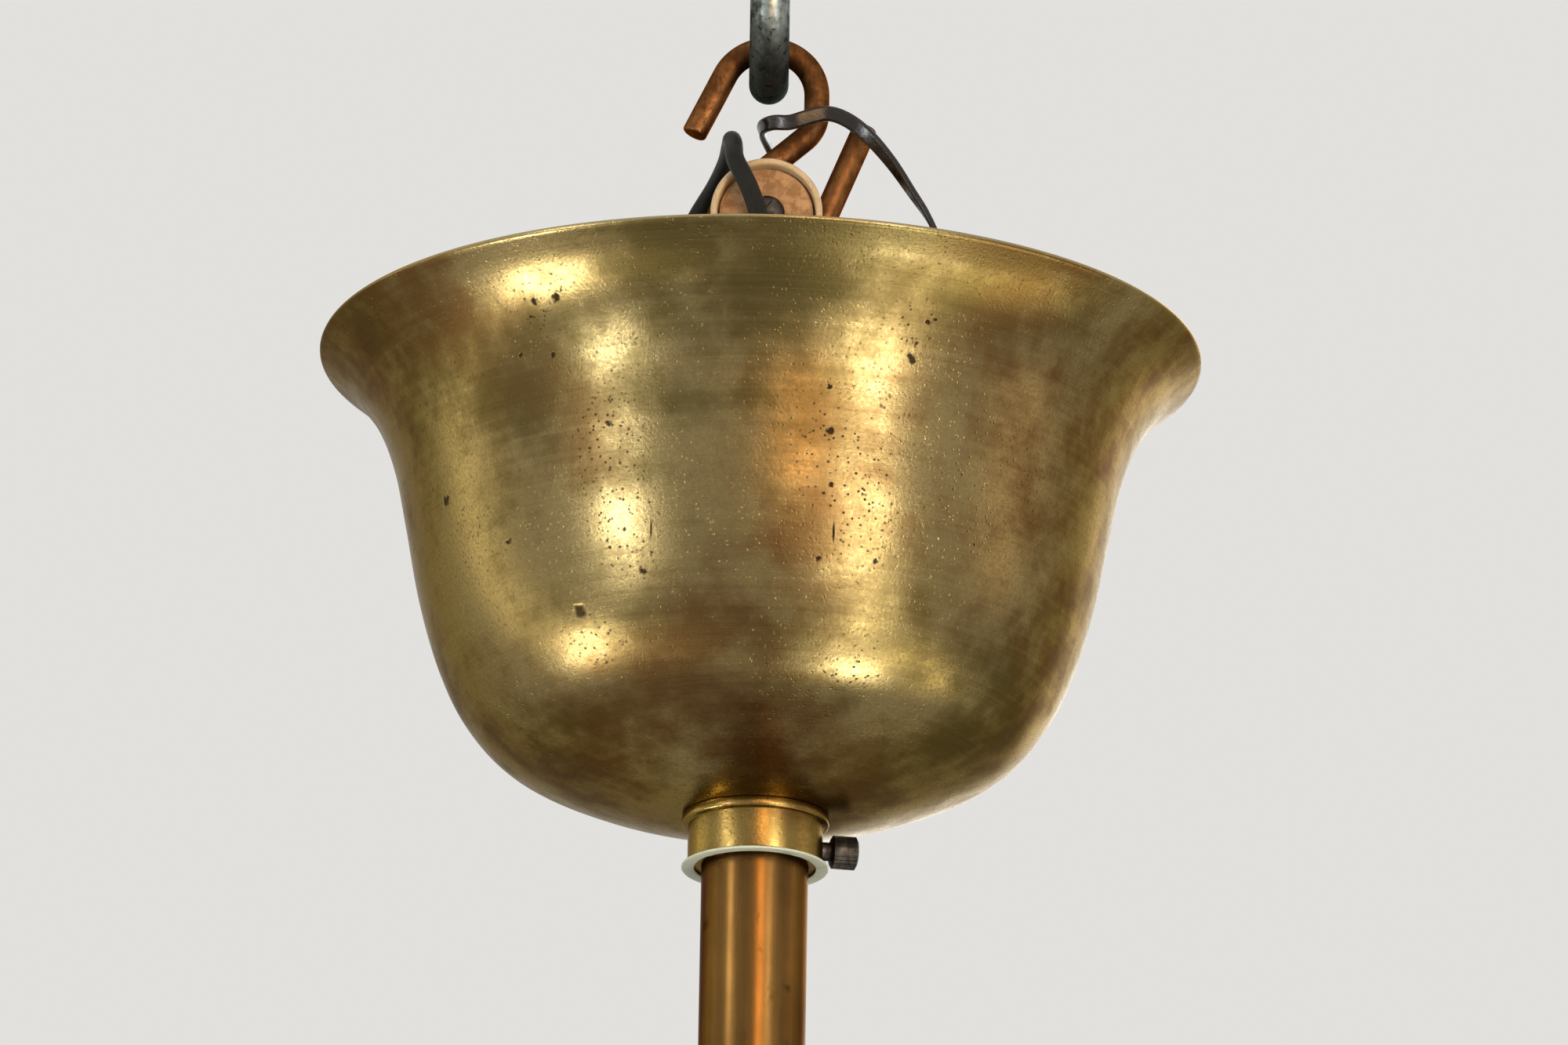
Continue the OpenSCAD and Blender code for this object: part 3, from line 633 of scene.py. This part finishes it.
# %% Opal glass
def opal(name, colour, rough, scatter):
    glass = Finish(name, IOR=1.5, Subsurface_Weight=scatter, Subsurface_Radius=(0.02, 0.018, 0.014),
                   Subsurface_Scale=0.2, Coat_Roughness=0.06)
    cloud = glass.noise(26, 3, 0.5)
    ripple = glass.noise(90, 2, 0.5)
    seed = glass.fit(glass.cells(260), 0.02, 0.06, 1, 0)
    seed = seed * glass.fit(glass.noise(70, 1), 0.58, 0.64)
    tint = glass.blend(cloud, colour, times(colour, 0.94))
    glass.to("Base Color", glass.blend(seed * 0.35, tint, (0.62, 0.58, 0.5)))
    glass.to("Roughness", cloud * 0.06 + (rough - 0.03))
    glass.to("Coat Weight", cloud * 0.3 + 0.35)
    glass.bump((ripple, 0.4, 0.12), (seed, 0.1, 0.4))
    return glass.material


shade_glass = opal("opal glass, shades", (0.86, 0.83, 0.76), 0.22, 0.35)
lamp_glass = opal("opal glass, lamps", (0.9, 0.89, 0.85), 0.12, 0.2)
print("opal glass for shades and lamps")

# %% [markdown]
# ## Sheaths of the two leads
# The round lead has a black sheath, slightly ribbed where it was wound, dusty on top. The flat twin
# flex is old rubber with two cores side by side, which is why light draws a double line along it.

# %% Sheaths
def sheath(name, colour, dusty, rough, gloss):
    rubber = Finish(name, Specular_IOR_Level=gloss)
    wear_and_highlight = rubber.noise(260, 4, 0.6)
    grain = rubber.noise(2600, 2, 0.6)
    dust = rubber.fit(wear_and_highlight, 0.5, 0.72)
    rubber.to("Base Color", rubber.blend(dust * 0.5, colour, dusty))
    rubber.to("Roughness", dust * 0.2 + grain * 0.1 + (rough - 0.08))
    rubber.bump((grain, 0.04, 0.5), (wear_and_highlight, 0.1, 0.25))
    return rubber.material


black_sheath = sheath("black sheath", (0.009, 0.0085, 0.007), (0.028, 0.027, 0.023), 0.55, 0.2)
flex_rubber = sheath("old rubber flex", (0.012, 0.0085, 0.0055), (0.04, 0.03, 0.022), 0.2, 0.5)
print("finishes:", len(bpy.data.materials))

# %% [markdown]
# ## The two leads
# Both leads come out of the threaded nipple at the top of the stem, loop over the S-hook's
# crossing and drop into the terminal block inside the canopy. They are short loops, held at
# both ends. Their routes are the CAD model's. A curve with a round bevel makes the black one. The
# flex has two cores side by side, so a small figure of eight is carried along its route. It lies
# flat to the camera where it crosses the S-hook and has turned edge-on where it dips into the
# canopy.

# %% The routes
black_route = [[-1.7, 0, 70], [-1.7, 0, 75.5], [-3.2, 0.3, 79.3], [-7.2, 1.5, 81.4], [-11.5, 5, 84],
               [-13.6, 10.5, 88.5], [-13, 14.4, 94.5], [-10.8, 14.8, 100.2], [-7.8, 11.2, 104.4],
               [-6.2, 6, 106.4], [-5.6, 0, 107.1], [-5.4, -5, 106.3], [-5.1, -10, 103.7],
               [-4.8, -13.7, 100.2], [-3, -14.3, 96.4], [-1.6, -14.6, 92.6], [-0.8, -15.4, 88.5],
               [-1.5, -18, 85.2], [-3.7, -22.5, 83.4], [-6.1, -27, 82.8], [-7, -31.4, 80.9],
               [-7, -33.3, 76.6], [-7, -31.4, 72.3], [-7, -28.2, 70.5], [-7, -23.5, 70.2]]
flex_route = [[1.5, 0, 70], [1.5, 0, 75.5], [3, 0.3, 79], [7, 1.5, 81.6], [11, 5, 84.5],
              [12.4, 10.4, 89], [10.6, 14.6, 94.5], [7, 15.4, 100], [3.2, 11.8, 104.6],
              [0.4, 6, 108.4], [-1, 0, 109.7], [0.6, -3.6, 109.6], [3.3, -4.9, 109.3],
              [6.2, -5, 110.2], [9.1, -4.9, 110.8], [12.1, -5, 109.7], [15.3, -5, 107.1],
              [18.7, -5.2, 103], [21.7, -5.6, 98.4], [24.6, -6.4, 93.6], [26.3, -8.5, 88.4],
              [26, -13, 83.4], [22.8, -19, 80.4], [18, -25.5, 79.4], [12.4, -30.6, 78],
              [8.6, -32.9, 74.8], [7, -31.4, 71.6], [7, -28.2, 70.4], [7, -23.5, 70.2]]
BLACK_R = 1.4 * MM


def lifted(route):
    return [p + Vector((0, 0, LEAD_Z)) for p in mm(route)]


def length_of(line):
    return sum((b - a).length for a, b in zip(line, line[1:]))


# %% Black lead
PER_POINT = 6
black_line = smooth_line(lifted(black_route), PER_POINT)
curve = bpy.data.curves.new("black lead", "CURVE")
curve.dimensions = "3D"
curve.twist_mode = "MINIMUM"
curve.use_fill_caps = True
curve.bevel_depth = BLACK_R
curve.bevel_resolution = 6
spline = curve.splines.new("POLY")
spline.points.add(len(black_line) - 1)
for dot, place in zip(spline.points, black_line):
    dot.co = (*place, 1)
black_lead = in_scene("black_lead_sheath", curve)
seat(black_lead, "fixture", "black_lead", black_sheath, "black_lead")
print("black lead", round(length_of(black_line), 4), "m")

# %% Twin flex
SECTION_DOTS = 28
CORE_R = 0.53 * MM
CORE_X = 0.64 * MM
WAIST = 0.3 * MM
FLAT_AT, EDGE_AT = 15 * PER_POINT, 19 * PER_POINT
flex_line = smooth_line(lifted(flex_route), PER_POINT)
figure_eight = []
for i in range(SECTION_DOTS):
    angle = math.tau * i / SECTION_DOTS
    if i % (SECTION_DOTS // 2) == SECTION_DOTS // 4:
        figure_eight.append((0, math.copysign(WAIST, math.sin(angle))))
    else:
        figure_eight.append((math.copysign(CORE_X, math.cos(angle)) + CORE_R * math.cos(angle),
                             CORE_R * math.sin(angle)))


def roll_to(place, wanted):
    """The twist that turns a frame's wide side towards a direction."""
    local = place.to_3x3().transposed() @ wanted
    return math.atan2(local.y, local.x)


frames = carried_places(flex_line)
flat_side = frames[FLAT_AT].col[2].xyz.cross(ahead)
flat_roll = roll_to(frames[FLAT_AT], flat_side)
edge_roll = roll_to(frames[EDGE_AT], ahead)
edge_roll += math.pi * round((flat_roll + math.pi / 2 - edge_roll) / math.pi)
share = [min(max((i - FLAT_AT) / (EDGE_AT - FLAT_AT), 0), 1) for i in range(len(flex_line))]
flex_rolls = [flat_roll + (edge_roll - flat_roll) * s for s in share]
twin_flex = swept("twin_flex_sheath", flex_line, figure_eight, flex_rolls)
seat(twin_flex, "fixture", "flex_sheath", flex_rubber, "twin_flex")
print("twin flex", round(length_of(flex_line), 4), "m,", len(twin_flex.data.polygons), "faces")

# %% [markdown]
# ## Ceiling hook and S-hook
# Both are bent from rod. The CAD solids have small sleeves between their straights and bends, so
# here the same paths are pushed through with one circle, which leaves a smooth rod with eased ends.

# %% Ceiling hook
ROD_R = 3 * MM
CROOK_R = 9.5 * MM
CROOK_Z = -28 * MM
NECK_R = 5 * MM
CROOK_TURN = 210
neck_rise = math.sqrt((CROOK_R + NECK_R) ** 2 - NECK_R ** 2)
neck_turn = math.degrees(math.atan2(neck_rise, NECK_R))
neck_z = CROOK_Z + neck_rise
SHANK = 30 * MM
bm = bmesh.new()
bent_rod(bm, [("line", SHANK - neck_z), ("arc", NECK_R, -neck_turn),
              ("arc", CROOK_R, neck_turn + CROOK_TURN)], ROD_R, raised(SHANK)
         @ Matrix.Rotation(math.pi / 2, 4, "Z") @ QUARTER_X
         @ Matrix.Rotation(-math.pi / 2, 4, "Z"), 40)
spin_line(bm, mm([(2.6, 0), (6.1, 0), (6.45, -0.25), (6.5, -0.6), (6.3, -1.1), (5.6, -1.45),
                  (2.6, -1.5)]), 64)
hook = finish_mesh("ceiling_hook_rod", bm)
seat(hook, "ceiling", "steel_hook", steel, "ceiling_hook")
print("hook", in_mm(hook), "mm,", len(hook.data.polygons), "faces")

# %% S-hook
WIRE_R = 1.9 * MM
TOP_R = 7.3 * MM
TOP_Z = -39.8 * MM
LOW_R = 7.4 * MM
LOW_Z = -61.3 * MM
MID_R = 5.5 * MM
MID_DROP = 2.8 * MM
LEAN_A = math.radians(25.7)
LEAN_B = 22
mid_x = TOP_R - MID_R
rise = TOP_Z - MID_DROP - LOW_Z
reach = math.hypot(mid_x, rise)
aim = math.atan2(rise, mid_x)
skew = math.asin((MID_R + LOW_R) / reach)
cross_run = math.sqrt(reach ** 2 - (MID_R + LOW_R) ** 2)
mid_turn = 90 - math.degrees(aim - skew)
low_turn = 90 + mid_turn + 90 - LEAN_B
LEG_A = 10.7 * MM
LEG_B = 21 * MM
start = (Vector((-TOP_R * math.cos(LEAN_A), 0, TOP_Z + TOP_R * math.sin(LEAN_A)))
         - LEG_A * Vector((math.sin(LEAN_A), 0, math.cos(LEAN_A))))
bm = bmesh.new()
bent_rod(bm, [("line", LEG_A), ("arc", TOP_R, math.degrees(LEAN_A) - 180), ("line", MID_DROP),
              ("arc", MID_R, -mid_turn), ("line", cross_run), ("arc", LOW_R, low_turn),
              ("line", LEG_B)], WIRE_R, Matrix.Translation(start) @ QUARTER_X
         @ Matrix.Rotation(math.pi / 2 - LEAN_A, 4, "Z"), 36)
s_hook = finish_mesh("s_hook_wire", bm)
seat(s_hook, "link", "copper_wire", copper, "s_hook")
print("S-hook", in_mm(s_hook), "mm, middle turn", round(mid_turn, 1), "degrees")

# %% [markdown]
# ## The canopy
# A spun bell of 0.9 mm sheet. Its outline is a smooth line through fourteen points, the section
# gets a rounded edge at the lip, and one spin makes the bell.

# %% Canopy
CANOPY_SHEET = 0.9 * MM
canopy_out = mm([(9.2, 0), (11.2, 0), (15, 0.5), (21.3, 2.2), (30, 5.3), (38.4, 9.7), (44, 16),
                 (47.8, 24), (50.7, 34), (52.8, 45), (54.8, 54.6), (57.8, 62.4), (61.8, 68),
                 (66.5, 72.1)])
canopy_line = [canopy_out[0]] + smooth_line(canopy_out[1:], 10)
bell = turned("canopy_bell", [wall_line(canopy_line, CANOPY_SHEET)],
              raised(SEAT_Z, CANOPY_SHIFT), 192)
seat(bell, "bell", "canopy_brass", canopy_brass, "canopy")
print("canopy", in_mm(bell), "mm,", len(bell.data.polygons), "faces")

# %% [markdown]
# ## The collar
# A turned ring clamped on the stem under the canopy. The canopy rests on its flange, and a knurled
# thumb screw stands out of its waist. Under it lies a thin pale ring, wider than the waist.

# %% Collar and ring
collar_line = mm([(8.06, 0), (10.7, 0), (10.93, -0.1), (11, -0.35), (11, -1.1), (10.92, -1.36),
                  (10.7, -1.5), (10.25, -1.5), (10.1, -1.62), (10.1, -7.4), (10.02, -7.65),
                  (9.8, -7.8), (8.06, -7.8)])
collar = turned("collar_ring_brass", [collar_line], raised(SEAT_Z), 128, 50)
seat(collar, "sleeve", "collar_brass", collar_brass, "collar")
ring_line = mm([(9.15, -7.82), (10.9, -7.82), (11, -7.9), (11, -8.06), (10.9, -8.18), (9.3, -8.2),
                (9.12, -8.1), (9.1, -7.95)])
ring = turned("collar_pale_ring", [ring_line], raised(SEAT_Z))
seat(ring, "sleeve", "ring_pale", ring_plastic, "collar_ring")
print("collar", in_mm(collar), "ring", in_mm(ring), "mm")

# %% Thumb screw
THUMB_Z = SEAT_Z - 4.65 * MM
THUMB_TURN = math.radians(10)
KNURLS = 48
thumb_place = (Matrix.Rotation(THUMB_TURN, 4, "Z") @ raised(THUMB_Z)
               @ Matrix.Rotation(math.pi / 2, 4, "Y"))
bm = bmesh.new()
for line in ([(0, 8.3), (1.1, 8.3), (1.4, 8.6), (1.4, 11.4), (2, 11.4), (2.5, 11.7)],
             [(2.5, 15.1), (2, 15.4), (1.2, 15.4), (0.9, 15.2), (0, 15.15)]):
    spin_line(bm, mm(line), KNURLS)
bmesh.ops.remove_doubles(bm, verts=bm.verts, dist=MERGE)
rims = [edge for edge in bm.edges if edge.is_boundary]
ribs = bmesh.ops.bridge_loops(bm, edges=rims)["faces"][::2]
bmesh.ops.inset_individual(bm, faces=ribs, thickness=0.05 * MM, depth=0.1 * MM)
bmesh.ops.transform(bm, verts=bm.verts, matrix=thumb_place)
thumb = finish_mesh("thumb_screw_head", bm)
seat(thumb, "clamp_screw", "dark_steel", dark_steel, "thumb_screw")
print("thumb screw", in_mm(thumb), "mm, knurled faces:", len(ribs))

# %% [markdown]
# ## Spool, yoke and screws
# The spool is turned and then fired, so its edges are round. Its ends are sunk for the yoke's
# ears. The yoke is a strip bent into a U; its round ears show as copper discs inside the spool's
# rims. A small round-headed screw holds them.

# %% Cutting with boxes
def cut_away(piece, size, places):
    """Cuts a box of this size out of a piece at each of the places, with a Boolean modifier."""
    boxes = bmesh.new()
    for place in places:
        made = bmesh.ops.create_cube(boxes, size=1)["verts"]
        bmesh.ops.scale(boxes, verts=made, vec=size)
        bmesh.ops.transform(boxes, verts=made, matrix=place)
    cutter = finish_mesh("cutter", boxes)
    cut = piece.modifiers.new("cut", "BOOLEAN")
    cut.operation = "DIFFERENCE"
    cut.object = cutter
    bpy.context.view_layer.update()
    whole = piece.evaluated_get(bpy.context.evaluated_depsgraph_get())
    result = bpy.data.meshes.new_from_object(whole)
    piece.modifiers.clear()
    piece.data = result
    bpy.data.objects.remove(cutter)
    result.set_sharp_from_angle(angle=math.radians(50))


# %% Spool
SPOOL_R = 8.4 * MM
HALF = 12 * MM
SINK_Y = 8.9 * MM
SINK_R = 7.35 * MM
half_line = mm([(1.6, 8.9), (7.15, 8.9), (7.35, 9.1), (7.35, 11.6), (7.5, 11.9), (7.85, 12),
                (8.2, 11.85), (8.4, 11.5), (8.4, 6.9), (8.25, 6.35), (8, 6.2), (4.9, 1.5),
                (4.55, 0.9), (4.5, 0)])
other_half = [Vector((p.x, -p.y)) for p in half_line[-2::-1]]
spool = turned("spool_ceramic", [half_line + other_half], raised(SPOOL_Z) @ QUARTER_X, 128, 60)
cut_away(spool, (2 * SINK_R, HALF, 2 * SPOOL_R),
         [Matrix.Translation((0, way * (SINK_Y + HALF / 2), SPOOL_Z - SPOOL_R))
          for way in (-1, 1)])
seat(spool, "fixture", "spool_ceramic", glaze.material, "insulator_spool")
print("spool", in_mm(spool), "mm")

# %% Spool screw
SCREW_FACE = 10.5 * MM
SLOT_SIZE = (0.7 * MM, 1.6 * MM, 8 * MM)
SLOT_TURN = math.radians(35)
SLOT_OUT = 1.9 * MM
head = mm([(0, 1.75), (0.9, 1.68), (1.7, 1.4), (2.35, 0.95), (2.7, 0.4), (2.75, 0.05), (2.6, 0),
           (1.5, 0), (1.5, -24.4), (1.3, -24.6), (0, -24.6)])
screw = turned("spool_screw_domed", [head],
               Matrix.Translation((0, -SCREW_FACE, SPOOL_Z)) @ QUARTER_X, 64, 50)
cut_away(screw, SLOT_SIZE, [Matrix.Translation((0, -SCREW_FACE - SLOT_OUT, SPOOL_Z))
                            @ Matrix.Rotation(SLOT_TURN, 4, "Y")])
seat(screw, "fixture", "dark_steel", dark_steel, "spool_screw")
print("spool screw", in_mm(screw), "mm")

# %% [markdown]
# ## Hub, cover, dish and finial
# The stem ends in a drum that takes the five arms. A spun bell hides its top joint, a spun dish
# closes it from below, and a turned knob on the end of the rod holds the dish. None of it is in the
# photograph, so the shapes are the usual ones.

# %% Hub cover and dish
HUB_SHEET = 1 * MM
foot = DRUM_R - 0.5 * MM
cover_line = smooth_line([(foot, 0), (foot, 2.5 * MM)]
                         + mm([(27, 8), (17, 12), (11.4, 20), (9.4, 30)]))
cover = turned("hub_bell_cover", [wall_line(cover_line, HUB_SHEET)], raised(DRUM_TOP), 128)
seat(cover, "fixture", "canopy_brass", fixture_brass, "hub_cover")
dish_line = mm([(5.1, -13)]) + smooth_line(mm([(11, -13), (17, -12), (26, -8), (34, -2.5),
                                               (34, 0)]))
dish = turned("hub_lower_dish", [wall_line(dish_line, HUB_SHEET)], raised(DRUM_TOP - DRUM_H), 128)
seat(dish, "fixture", "canopy_brass", fixture_brass, "hub_dish")
print("hub cover", in_mm(cover), "dish", in_mm(dish), "mm")

# %% Finial
FINIAL_TOP = -540 * MM
knob = mm([(5.1, 0), (10.6, 0), (11, -0.35), (11, -2.2), (10.5, -2.9), (9.5, -3.2),
           (8.3, -4.6), (7.2, -6.6), (6.7, -8.5), (6.6, -10.5), (7, -12.3), (8.9, -14.6),
           (10.1, -17.6), (10.5, -21), (10.1, -24.4), (8.6, -27.4), (6.2, -29.6), (4.4, -30.6),
           (3.2, -31.6), (2.3, -34), (1.7, -35.6), (2.2, -36.4), (2.4, -38), (1.7, -39.8),
           (0.8, -40.3), (0, -40.4)])
knob_line = knob[:4] + smooth_line(knob[4:], 3)
bore_line = mm([(5.1, 0), (5.1, -10.2), (0, -10.5)])
finial = turned("finial_knob", [knob_line, bore_line], raised(FINIAL_TOP), smooth_angle=40)
seat(finial, "fixture", "arm_brass", fixture_brass, "finial")
print("finial", in_mm(finial), "mm")

# %% [markdown]
# ## Arms, cups and lampholders
# Each arm is drawn tube, bent in a dip and a rise. The outside and the bore are one circle each,
# pushed along the same path, and their ends are bridged. The cup on its end is spun, and the
# lampholder stands in it with a knurled ring that clamps the glass.

# %% Arms
ARM_NUMBERS = range(1, 6)
ARM_FIRST = -81
ARM_STEP = 72
ARM_R = 5 * MM
ARM_BORE = 3.9 * MM
BORE_DEPTH = 6 * MM
ARM_INNER = 22 * MM
arm_path = [("line", 30 * MM), ("arc", 50 * MM, -35), ("arc", 70 * MM, 125), ("line", 22 * MM)]


def arm_turn(k):
    return Matrix.Rotation(math.radians(ARM_FIRST + (k - 1) * ARM_STEP), 4, "Z")


for k in ARM_NUMBERS:
    bm = bmesh.new()
    bent_rod(bm, arm_path, ARM_R, arm_turn(k) @ raised(ARM_Z, ARM_INNER) @ QUARTER_X, 40,
             cap=0, step_deg=3)
    caps = [face for face in bm.faces if len(face.verts) > 4]
    bmesh.ops.inset_individual(bm, faces=caps, thickness=ARM_R - ARM_BORE)
    for face in bmesh.ops.extrude_discrete_faces(bm, faces=caps)["faces"]:
        bmesh.ops.translate(bm, verts=list(face.verts), vec=-BORE_DEPTH * face.normal)
    arm = finish_mesh(f"arm_tube_{k}", bm)
    seat(arm, "fixture", "arm_brass", arm_brass, f"arm_{k}")
print("arm", in_mm(arm), "mm,", len(arm.data.polygons), "faces")

# %% Cups and lampholders
LAMP_X = 190.829 * MM
LAMP_Z = -443.702 * MM
CUP_SHEET = 1 * MM
cup_line = smooth_line(mm([(6.5, -3), (12, -2.6), (20, 0.2), (26, 5)]), 10)
boss_line = mm([(5.05, -12), (6, -12), (6.25, -11.8), (6.6, -9.6), (7, -7.2), (7.6, -4.4),
                (8, -0.2), (7.9, 0), (5.05, 0)])
holder_line = mm([(5.06, 0), (10.7, 0), (11, 0.3), (11, 7.6), (11.3, 8), (13.2, 8), (13.5, 8.3),
                  (13.5, 14), (17.2, 14), (17.5, 14.3), (17.5, 15.7), (17.2, 16), (13.5, 16),
                  (13.5, 45.4), (13.1, 46), (12.2, 46), (11.9, 45.7), (11.9, 24), (8.6, 24),
                  (8.6, 45.6), (8.3, 46), (7.6, 46), (7.3, 45.7), (7.3, 18.1), (3, 18), (3, 8),
                  (5.05, 8)])
lamp_places = {k: arm_turn(k) @ raised(LAMP_Z, LAMP_X) for k in ARM_NUMBERS}
for k, place in lamp_places.items():
    cup = turned(f"lamp_cup_dish_{k}", [wall_line(cup_line, CUP_SHEET), boss_line], place)
    seat(cup, "fixture", "arm_brass", fixture_brass, f"lamp_cup_{k}")
    holder = turned(f"lampholder_sleeve_{k}", [holder_line], place, 72)
    seat(holder, "fixture", "holder_plastic", holder_plastic, f"lampholder_{k}")
print("cup", in_mm(cup), "lampholder", in_mm(holder), "mm")

# %% [markdown]
# ## Shades and lamps
# The shades are blown opal glass tulips with a flange at the bottom and a softly flared, polished
# mouth. The lamps are round opal lamps with a small screw cap.

# %% Shades
SHADE_R = 46
SHADE_GLASS = 2.6 * MM
shade_line = mm([(14.2, 16.1), (20.2, 16.1)]) + smooth_line(mm([
    (21, 16.1), (30, 20), (SHADE_R - 6, 34), (SHADE_R, 56), (SHADE_R - 2, 78), (SHADE_R - 3.5, 92),
    (SHADE_R + 1, 108)]))
for k, place in lamp_places.items():
    shade = turned(f"shade_tulip_{k}", [wall_line(shade_line, SHADE_GLASS)], place, 128)
    seat(shade, "fixture", "shade_glass", shade_glass, f"shade_{k}")
print("shade", in_mm(shade), "mm")

# %% Lamps
GLOBE_Z = 72
GLOBE_R = 22.5
GLASS_FOOT = 46.2
ball = [(GLOBE_R * math.sin(math.radians(a)), GLOBE_Z - GLOBE_R * math.cos(math.radians(a)))
        for a in range(42, 181, 6)]
neck = smooth_line(mm([(6.9, GLASS_FOOT), (7.2, 47.2), (9.6, 50.2), ball[0]]), 5)
lamp_line = neck + mm(ball[1:-1]) + mm([(0, GLOBE_Z + GLOBE_R)])
cap_turns = []
THREAD_PITCH = 2.8
for i in range(7):
    z = 22.2 + THREAD_PITCH * i
    cap_turns += [(6.45, z - 0.9), (6.9, z + 0.1), (6.9, z + 0.5), (6.45, z + 1.5)]
cap_line = mm([(0, 18.5), (2.6, 18.5), (3, 18.8), (4.6, 20.2), (6.4, 20.9)] + cap_turns
              + [(6.9, 42.4), (6.9, GLASS_FOOT)])
for k, place in lamp_places.items():
    lamp = turned(f"lamp_globe_{k}", [lamp_line, cap_line], place, 72, 50)
    seat(lamp, f"lamp_{k}", "lamp_glass", lamp_glass, f"bulb_{k}")
    lamp.data.materials.append(zinc)
    for face in lamp.data.polygons:
        if face.center.z < place.translation.z + GLASS_FOOT * MM:
            face.material_index = 1
print("lamp", in_mm(lamp), "mm")

# %% [markdown]
# ## The solids that stay
# The rest of the CAD solids have the right shape already: the stem, the drum, the nuts, the plate
# and the terminal block. They only need their finish.

# %% Finishes for the CAD solids
kept = [(ear_copper, ["yoke"]), (dark_steel, ["spool_nut"]), (stem_brass, ["stem_tube"]),
        (fixture_brass, ["hub_drum"]), (cable_plastic, ["stem_cable", "arm_wires"]),
        (zinc, ["terminal_plate", "yoke_nut", "hub_nut", "arm_nuts"]),
        (block_plastic, ["terminal_block", "hub_connector"]),
        (thread_brass, ["terminal_screws", "top_nipple", "stem_bushes", "hub_rod"]),
        (holder_plastic, [f"shade_ring_{k}" for k in ARM_NUMBERS])]
for material, nodes in kept:
    for node in nodes:
        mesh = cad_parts[node].data
        mesh.materials.clear()
        mesh.materials.append(material)
print("solids kept:", sum(len(nodes) for material, nodes in kept))

# %% [markdown]
# ## Floor, background and light
# The chandelier hangs in a plain pale room, far above a pale floor. The camera, metal and glass
# see that room as it is, and a weaker warm light from all round fills the shadows. Each glow on
# the canopy is the reflection of a lamp, so softboxes stand where those glows reflect. The
# strongest are close and have honeycomb grids, which keep their light off the pale shades.

# %% Floor and world
FLOOR_Z = -5
FLOOR_REACH = 60
FLOOR_SHOWN = 0.65
PALE = (0.76, 0.75, 0.73, 1)
FILL = 0.42
bm = bmesh.new()
bmesh.ops.create_grid(bm, x_segments=2, y_segments=2, size=FLOOR_REACH, matrix=raised(FLOOR_Z))
floor = finish_mesh("floor", bm)
paint = Finish("pale floor", Roughness=0.8)
paint.to("Base Color", paint.blend(paint.noise(2), (0.78, 0.77, 0.75), (0.74, 0.73, 0.71)))
paint.surface(paint.shown() * FLOOR_SHOWN, Wire(paint.tree, paint.shader.outputs[0]),
              paint.make("ShaderNodeEmission", Color=PALE))
floor.data.materials.append(paint.material)

scene.view_settings.view_transform = "Standard"
scene.world = bpy.data.worlds.new("pale room")
scene.world.use_nodes = True
room = Shader(scene.world.node_tree)
room.surface(room.shown(),
             room.make("ShaderNodeBackground", Color=(1, 0.97, 0.93, 1), Strength=FILL),
             room.make("ShaderNodeBackground", Color=PALE))
print("floor at", FLOOR_Z, "m, fill", FILL)


# %% Softboxes
CANOPY_MIDDLE = Vector((0, 0, -0.12))


def softbox(name, azimuth, elevation, wide, high, glow, colour=(1, 1, 1), away=2.4, turn=0,
            grid=None):
    """A softbox seen from the canopy at that direction, with its width and height in degrees.
    A honeycomb grid narrows its beam to that many degrees, and keeps its brightness ahead."""
    a, e = math.radians(azimuth), math.radians(elevation)
    way = Vector((math.sin(a) * math.cos(e), -math.cos(a) * math.cos(e), math.sin(e)))
    light = bpy.data.lights.new(name, "AREA")
    light.shape = "RECTANGLE"
    light.size = 2 * away * math.tan(math.radians(wide) / 2)
    light.size_y = 2 * away * math.tan(math.radians(high) / 2)
    light.energy = glow * math.pi * light.size * light.size_y
    light.color = colour
    if grid:
        light.spread = math.radians(grid)
        light.energy *= 1 - light.spread / 2 / math.tan(light.spread / 2)
    box = in_scene(name, light)
    box.matrix_world = (Matrix.Translation(CANOPY_MIDDLE + away * way)
                        @ way.to_track_quat("Z", "Y").to_matrix().to_4x4()
                        @ Matrix.Rotation(math.radians(turn), 4, "Z"))
    box.visible_camera = False
    return light.energy


watts = [softbox("key right", 33, -11, 9, 19, 34, (1, 0.95, 0.86), away=0.5, grid=60),
         softbox("key right, upper", 33, 15, 9, 22, 5, (1, 0.9, 0.75)),
         softbox("band right", 43, -37, 9, 32, 10, (1, 0.94, 0.74), away=0.5, turn=-12, grid=56),
         softbox("fill left", -45, -9, 9, 17, 20, (0.95, 0.98, 1), away=0.5, grid=60),
         softbox("fill left, upper", -52, 15, 9, 20, 5.5, (1, 0.95, 0.85)),
         softbox("orange front", 14, 10, 12, 30, 10, (1, 0.55, 0.22), away=0.5, grid=60),
         softbox("low left", -73, -41, 9, 12, 62, (1, 0.98, 0.92), away=0.5, grid=50),
         softbox("low right", 70, -63, 15, 11, 20, (1, 0.98, 0.9), away=3),
         softbox("yellow band right", 88, -48, 26, 14, 6, (1, 0.9, 0.5), away=3),
         softbox("warm right", 88, 6, 22, 30, 0.6, (1, 0.62, 0.3)),
         softbox("yellow left", -95, 14, 14, 28, 0.5, (1, 0.88, 0.5)),
         softbox("yellow band left", -84, -29, 100, 12, 1.5, (1, 0.9, 0.55), away=1, turn=-53),
         softbox("back", 160, 15, 40, 40, 2.2)]
print("lights", [round(w, 1) for w in watts])
